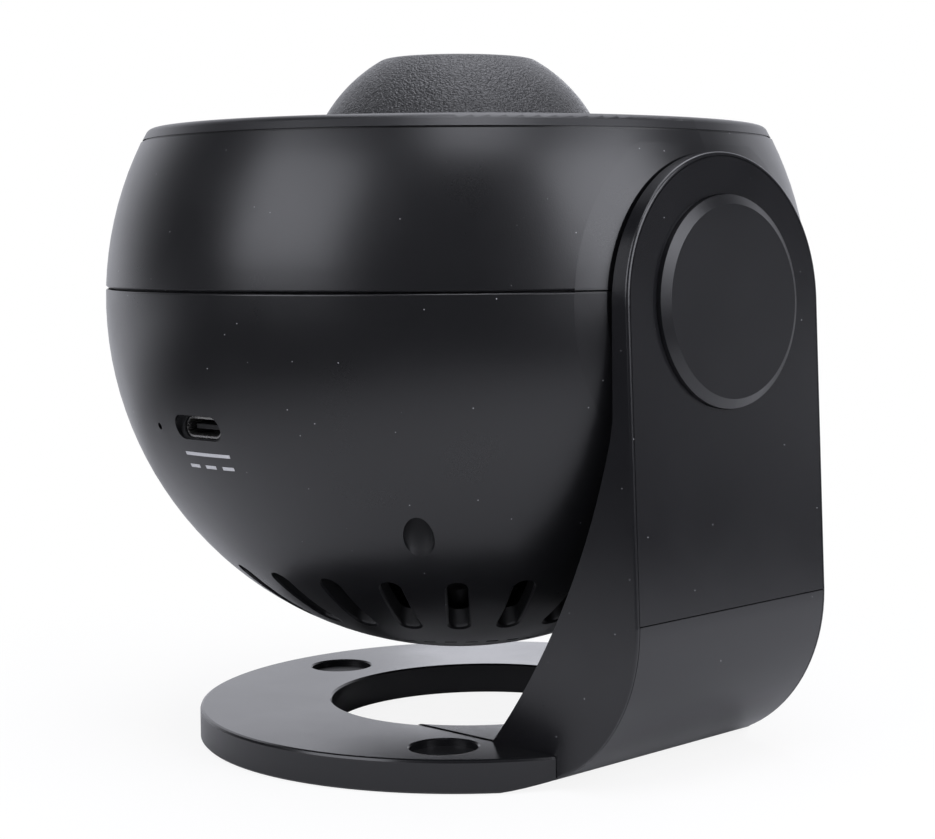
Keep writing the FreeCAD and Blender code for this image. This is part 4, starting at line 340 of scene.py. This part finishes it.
def steel(name, color, rough, streak=STREAKS_UPRIGHT, size_mm=0.4):
    # turned or drawn metal with streaks along one direction
    n = material_nodes(name)
    streaks = n.noise(size_mm, detail=3.0, place=n.stretch(streak))
    tone = n.tint(streaks, color, darkest=0.82, lightest=1.12)
    gloss = n.spread(streaks, rough - STREAK_SMOOTHER, rough + STREAK_ROUGHER)
    return n.finish(n.shader(tone, gloss, n.bump(streaks, depth_mm=0.004), metal=1.0))


def lens_glass(name, clear, film):
    # coated optical glass: clear, with a faint coloured film of uneven strength
    n = material_nodes(name)
    tone = n.mix("RGBA", n.noise(size_mm=9.0, detail=2.0), clear, film)
    gloss = n.spread(n.noise(size_mm=2.0, detail=4.0), low=0.01, high=0.045)
    return n.finish(n.shader(tone, gloss, IOR=1.52, Transmission_Weight=0.94))


def circuit_board(name, color):
    # solder mask, lighter over the raised copper under it
    n = material_nodes(name)
    copper = n.noise(size_mm=4.0, detail=1.0)
    edge = n.spread(copper, low=0.0, high=1.0, between=(0.47, 0.53))
    tone = n.tint(edge, color, darkest=0.65, lightest=1.25)
    gloss = n.spread(n.noise(size_mm=1.0, detail=2.0), low=0.32, high=0.45)
    return n.finish(n.shader(tone, gloss, n.bump(copper, depth_mm=0.02)))


def star_film(name, black, star):
    # black film with many small clear stars
    n = material_nodes(name)
    spots = n.spread(n.cells(size_mm=1.1), low=1.0, high=0.0, between=(0.06, 0.10))
    gloss = n.spread(n.noise(size_mm=6.0, detail=3.0), low=0.08, high=0.2)
    return n.finish(n.shader(n.mix("RGBA", spots, black, star), gloss))


def phosphor(name, deep, pale):
    n = material_nodes(name)
    return n.finish(n.shader(n.mix("RGBA", n.noise(size_mm=0.6, detail=3.0), deep, pale), rough=0.45))


def frosted(name, color):
    n = material_nodes(name)
    cloud = n.noise(size_mm=0.8, detail=3.0)
    tone = n.tint(cloud, color, darkest=0.85, lightest=1.05)
    gloss = n.spread(cloud, low=0.34, high=0.5)
    return n.finish(n.shader(tone, gloss, Transmission_Weight=0.3))


def print_ink(name, color):
    # thin pad-printed ink, a little uneven over the grain of the plastic
    n = material_nodes(name)
    cover = n.noise(size_mm=0.35, detail=3.0)
    tone = n.tint(cover, color, darkest=0.8, lightest=1.1)
    gloss = n.spread(cover, low=0.44, high=0.58)
    return n.finish(n.shader(tone, gloss, n.bump(cover, depth_mm=0.004), specular=0.3))


# Colours: the plastics that show are dark charcoal throughout

SHELL_COLOR = (0.0062, 0.0062, 0.0070)
ARM_COLOR = (0.0062, 0.0062, 0.0072)
RING_COLOR = (0.0062, 0.0062, 0.0070)
DOME_COLOR = (0.0130, 0.0130, 0.0138)
BEZEL_COLOR = (0.0120, 0.0120, 0.0130)
DECK_COLOR = (0.0090, 0.0090, 0.0098)
MAT_COLOR = (0.018, 0.018, 0.018)
INNER_BLACK = (0.0090, 0.0090, 0.0095)
NATURAL = (0.70, 0.69, 0.65)
ZINC = (0.60, 0.60, 0.61)
DARK_STEEL = (0.16, 0.16, 0.165)
MOTOR_STEEL = (0.55, 0.55, 0.56)
ALUMINIUM = (0.72, 0.73, 0.74)
NICKEL = (0.66, 0.65, 0.63)
MASK_GREEN = (0.012, 0.075, 0.030)
MASK_WHITE = (0.72, 0.72, 0.70)
LENS_CLEAR = (0.93, 0.95, 0.98)
LENS_FILM = (0.86, 0.90, 1.0)
FILM_BLACK = (0.006, 0.006, 0.012)
FILM_STAR = (0.75, 0.78, 0.85)
PHOSPHOR_DEEP = (0.75, 0.58, 0.12)
PHOSPHOR_PALE = (0.9, 0.78, 0.3)
LIGHT_FROSTED = (0.55, 0.58, 0.56)
MARK_COLOR = (0.42, 0.42, 0.43)


def dress(material, *names):
    for name in names:
        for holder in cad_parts[name].material_slots:
            holder.material = material


def dress_outside():
    arm_grain = {"grain_mm": 0.2, "grain_depth_mm": 0.006}
    dress(moulded_plastic("shell_satin_plastic", SHELL_COLOR, rough=0.30, dust=True, shell=True),
          "lower_shell", "upper_shell")
    dress(moulded_plastic("arm_satin_plastic", ARM_COLOR, rough=0.24, dust=True, **arm_grain),
          "arm_shell")
    dress(moulded_plastic("cover_satin_plastic", ARM_COLOR, rough=0.24, dust=True, **arm_grain),
          "arm_cover", "arm_lower_cover")
    dress(moulded_plastic("cap_satin_plastic", ARM_COLOR, rough=0.31, **arm_grain), "pivot_cap")
    dress(ring_plastic("ring_smooth_plastic", RING_COLOR, rough=0.22), "base_ring")
    dress(rubber("mat_rubber_matt", MAT_COLOR), "base_mat")
    dress(moulded_plastic("bezel_semi_gloss", BEZEL_COLOR, rough=0.34), "rim_bezel")
    dress(moulded_plastic("deck_matt_plastic", DECK_COLOR, rough=0.5, grain_mm=0.25, grain_depth_mm=0.01),
          "top_deck")
    dress(leather_plastic("dome_leather_grain", DOME_COLOR, rough=0.28), "focus_dome")
    for name in ("button_power", "button_light", "button_turn"):
        dress(moulded_plastic(name + "_satin", ARM_COLOR, rough=0.4), name)
    dress(steel("port_nickel_steel", NICKEL, rough=0.26, streak=STREAKS_ALONG_Y), "port_shell")
    dress(frosted("status_frosted_lens", LIGHT_FROSTED), "status_light")


def dress_inside():
    dress(moulded_plastic("inner_matt_plastic", INNER_BLACK, rough=0.55, grain_mm=0.3, grain_depth_mm=0.01),
          "lens_barrel", "lens_guide", "optics_frame", "lamp_tube", "fan_frame", "fan_rotor",
          "button_switches", "board_chips", "port_tongue")
    dress(moulded_plastic("natural_acetal", NATURAL, rough=0.42, grain_mm=0.3, variation=0.06),
          "disc_carrier", "drive_pinion", "friction_washer")
    dress(steel("zinc_screw_steel", ZINC, rough=0.32),
          "foot_screws", "button_board_screws", "lens_guide_screws", "lamp_tube_screws",
          "heat_sink_screws", "drive_motor_screws", "fan_screws", "board_screws")
    dress(steel("black_screw_steel", DARK_STEEL, rough=0.4), "shell_screws")
    for name in ("pivot_bolt", "pivot_nut", "spring_washer"):
        dress(steel(name + "_steel", ZINC, rough=0.3, streak=STREAKS_ALONG_X), name)
    dress(steel("motor_can_steel", MOTOR_STEEL, rough=0.3, size_mm=0.8), "drive_motor")
    dress(steel("extruded_aluminium", ALUMINIUM, rough=0.34, size_mm=0.6), "heat_sink")
    dress(lens_glass("coated_lens_glass", LENS_CLEAR, LENS_FILM),
          "front_lens", "rear_lens", "condenser_lens")
    dress(circuit_board("green_solder_mask", MASK_GREEN), "main_board", "button_board")
    dress(moulded_plastic("white_solder_mask", MASK_WHITE, rough=0.4, variation=0.04), "lamp_board")
    dress(phosphor("lamp_phosphor_grain", PHOSPHOR_DEEP, PHOSPHOR_PALE), "lamp_emitter")
    dress(star_film("star_film_disc", FILM_BLACK, FILM_STAR), "film_disc")


# Mark under the power inlet: the plain sign for direct current, a line over three dashes

# Turns are in degrees round the globe's axis, and heights are counted from its centre
MARK_MIDDLE_TURN = -89.0
MARK_HALF_TURN = 5.6
MARK_GAP_TURN = 1.6
MARK_DASHES = 3
MARK_LINE_HEIGHT = -23.1 * MM
MARK_DASH_HEIGHT = -25.1 * MM
MARK_THICKNESS = 0.55 * MM
MARK_LIFT = 0.012 * MM
MARK_STEPS = 8


def add_stroke(points, faces, start_turn, end_turn, height):
    # a strip that follows the globe from one turn to the next at one height, with a face
    # between each pair of points and the pair before it
    for step in range(MARK_STEPS + 1):
        turn = math.radians(start_turn + (end_turn - start_turn) * step / MARK_STEPS)
        for rise in (height - MARK_THICKNESS / 2, height + MARK_THICKNESS / 2):
            reach = math.sqrt((GLOBE_RADIUS + MARK_LIFT) ** 2 - rise ** 2)
            points.append(GLOBE_CENTRE + Vector((math.cos(turn) * reach, math.sin(turn) * reach, rise)))
        if step:
            last = len(points)
            faces.append((last - 4, last - 2, last - 1, last - 3))


def make_mark():
    points = []
    faces = []
    first = MARK_MIDDLE_TURN - MARK_HALF_TURN
    add_stroke(points, faces, first, first + MARK_HALF_TURN * 2, MARK_LINE_HEIGHT)
    dash = (MARK_HALF_TURN * 2 - MARK_GAP_TURN * (MARK_DASHES - 1)) / MARK_DASHES
    for index in range(MARK_DASHES):
        start = first + (dash + MARK_GAP_TURN) * index
        add_stroke(points, faces, start, start + dash, MARK_DASH_HEIGHT)
    mesh = bpy.data.meshes.new("inlet_mark")
    mesh.from_pydata(points, [], faces)
    mark = bpy.data.objects.new("inlet_mark", mesh)
    bpy.context.collection.objects.link(mark)
    mesh.materials.append(print_ink("inlet_mark_ink", MARK_COLOR))
    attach(mark, "globe")


# Light of the studio, where a level of 1 is white

COOL_LIGHT = (0.985, 0.998, 1.08)
WHITE = (1.0, 1.0, 1.0)
AMBIENT_LEVEL = 0.28

# World as gloss sees it: dark before the object, and rising to white behind it

FRONT_LEVEL = 0.07
WALL_RISE = (0.28, 0.75)

# Floor, with distances in metres from the origin of the frame

ORIGIN = (0.0, 0.0, 0.0)
FLOOR_REACH = 6.0
FLOOR_COLOR = (0.86, 0.86, 0.865)
# Gloss sees the floor in a darker copy of its colour: painted shade for the object's shadow near it
FLOOR_PAINTED_SHADE_IN_GLOSS = (0.74, 0.74, 0.745)
# The eye sees it nearly white under the object, and plain white further out
FLOOR_NEAR_WHITE = 0.88
FLOOR_WHITE_REACH = (0.05, 0.16)
# Gloss sees its own light in a pool, which ends here
FLOOR_POOL_SHIFT = 0.045
FLOOR_FADE = (0.09, 0.26)
# Beyond the pool gloss sees a painted glow on it, dark before the object and rising to white behind it
FLOOR_DARK = 0.05
FLOOR_RISE = (0.0, 0.27)


def make_floor():
    # a white sweep: the eye sees it white, with a share of the object's soft shadow on it; gloss sees
    # its own light in a pool near the object, a little to the camera's right, on a darker copy of its
    # colour that is painted shade, and beyond the pool a painted glow that is dark in front of the object
    # and white behind it
    mesh = bpy.data.meshes.new("studio_floor")
    corners = [(x * FLOOR_REACH, y * FLOOR_REACH, 0) for x, y in ((-1, -1), (1, -1), (1, 1), (-1, 1))]
    mesh.from_pydata(corners, [], [(0, 1, 2, 3)])
    floor = bpy.data.objects.new("studio_floor", mesh)
    bpy.context.collection.objects.link(floor)
    n = material_nodes("floor_pale")
    rays = n.add("LightPath").outputs
    glossy = rays["Is Glossy Ray"]
    direct = n.math("MAXIMUM", rays["Is Camera Ray"], rays["Is Transmission Ray"])
    # what gloss sees of the plain floor is darkened by painted shade
    plain = n.shader(n.mix("RGBA", glossy, FLOOR_COLOR, FLOOR_PAINTED_SHADE_IN_GLOSS), rough=0.9, specular=0.1)
    pool = n.measure("DISTANCE", n.place, level(CAMERA_RIGHT * FLOOR_POOL_SHIFT))
    away = n.spread(pool, 0.0, 1.0, between=FLOOR_FADE)
    behind = n.measure("DOT_PRODUCT", n.place, level(CAMERA_FORWARD))
    # painted glow for gloss beyond the pool: dark in front of the object, white behind it
    lit = n.spread(behind, FLOOR_DARK, 1.0, between=FLOOR_RISE)
    seen_by_gloss = n.math("ADD", n.math("MULTIPLY", lit, away), n.math("SUBTRACT", 1.0, away))
    white = n.add("Emission")
    n.feed(white.inputs["Color"], n.mix("RGBA", direct, COOL_LIGHT, WHITE))
    n.feed(white.inputs["Strength"], n.math("MAXIMUM", direct, seen_by_gloss))
    outward = n.measure("DISTANCE", n.place, ORIGIN)
    seen_by_eye = n.spread(outward, FLOOR_NEAR_WHITE, 1.0, between=FLOOR_WHITE_REACH)
    share = n.math("ADD", n.math("MULTIPLY", seen_by_eye, direct), n.math("MULTIPLY", away, glossy))
    mixer = n.add("MixShader")
    n.feed(mixer.inputs[0], share)
    n.feed(mixer.inputs[1], plain)
    n.feed(mixer.inputs[2], white.outputs["Emission"])
    mesh.materials.append(n.finish(mixer.outputs["Shader"]))


def make_world():
    # white to the eye and through glass; what gloss reflects is white behind the object and
    # dark beside and before it, as in a small studio
    world = bpy.data.worlds.new("studio_world")
    bpy.context.scene.world = world
    n = Nodes(world, "OutputWorld", "Generated")
    rays = n.add("LightPath").outputs
    behind = n.measure("DOT_PRODUCT", n.place, level(CAMERA_FORWARD))
    wall = n.spread(behind, FRONT_LEVEL, 1.0, between=WALL_RISE, kind="SMOOTHSTEP")
    strength = n.mix("FLOAT", rays["Is Glossy Ray"], AMBIENT_LEVEL, wall)
    strength = n.mix("FLOAT", rays["Is Transmission Ray"], strength, 1.0)
    strength = n.mix("FLOAT", rays["Is Camera Ray"], strength, 1.0)
    back = n.add("Background")
    n.feed(back.inputs["Strength"], strength)
    n.feed(back.inputs["Color"], n.mix("RGBA", rays["Is Camera Ray"], COOL_LIGHT, WHITE))
    n.finish(back.outputs["Background"])


def softbox(name, azimuth, elevation, distance, width, height, power):
    # azimuth is counted from the camera's side of the globe, positive to the camera's right
    data = bpy.data.lights.new(name, "AREA")
    data.shape = "RECTANGLE"
    data.size = width
    data.size_y = height
    data.energy = power
    data.color = COOL_LIGHT
    lamp = bpy.data.objects.new(name, data)
    bpy.context.collection.objects.link(lamp)
    turn = math.radians(azimuth)
    rise = math.radians(elevation)
    nearer = level(-CAMERA_FORWARD).normalized()
    across = level(CAMERA_RIGHT).normalized()
    toward = (nearer * math.cos(turn) + across * math.sin(turn)) * math.cos(rise)
    toward += Vector((0.0, 0.0, math.sin(rise)))
    lamp.location = GLOBE_CENTRE + toward * distance
    lamp.rotation_euler = toward.to_track_quat("Z", "Y").to_euler()


def make_lamps():
    softbox("softbox_left", azimuth=-53.0, elevation=25.0, distance=1.1,
            width=0.7, height=0.72, power=5.3)
    softbox("softbox_right", azimuth=57.0, elevation=23.0, distance=1.1,
            width=0.75, height=0.9, power=9.2)
    softbox("softbox_front", azimuth=10.0, elevation=64.0, distance=1.2,
            width=0.5, height=0.7, power=4.8)
    softbox("softbox_top", azimuth=170.0, elevation=72.0, distance=1.3,
            width=1.0, height=1.0, power=8.0)
    softbox("softbox_back", azimuth=176.0, elevation=11.0, distance=1.6,
            width=0.5, height=0.22, power=0.4)


make_camera()
dress_outside()
dress_inside()
make_mark()
make_floor()
make_world()
make_lamps()

bpy.context.scene.view_settings.view_transform = "Standard"
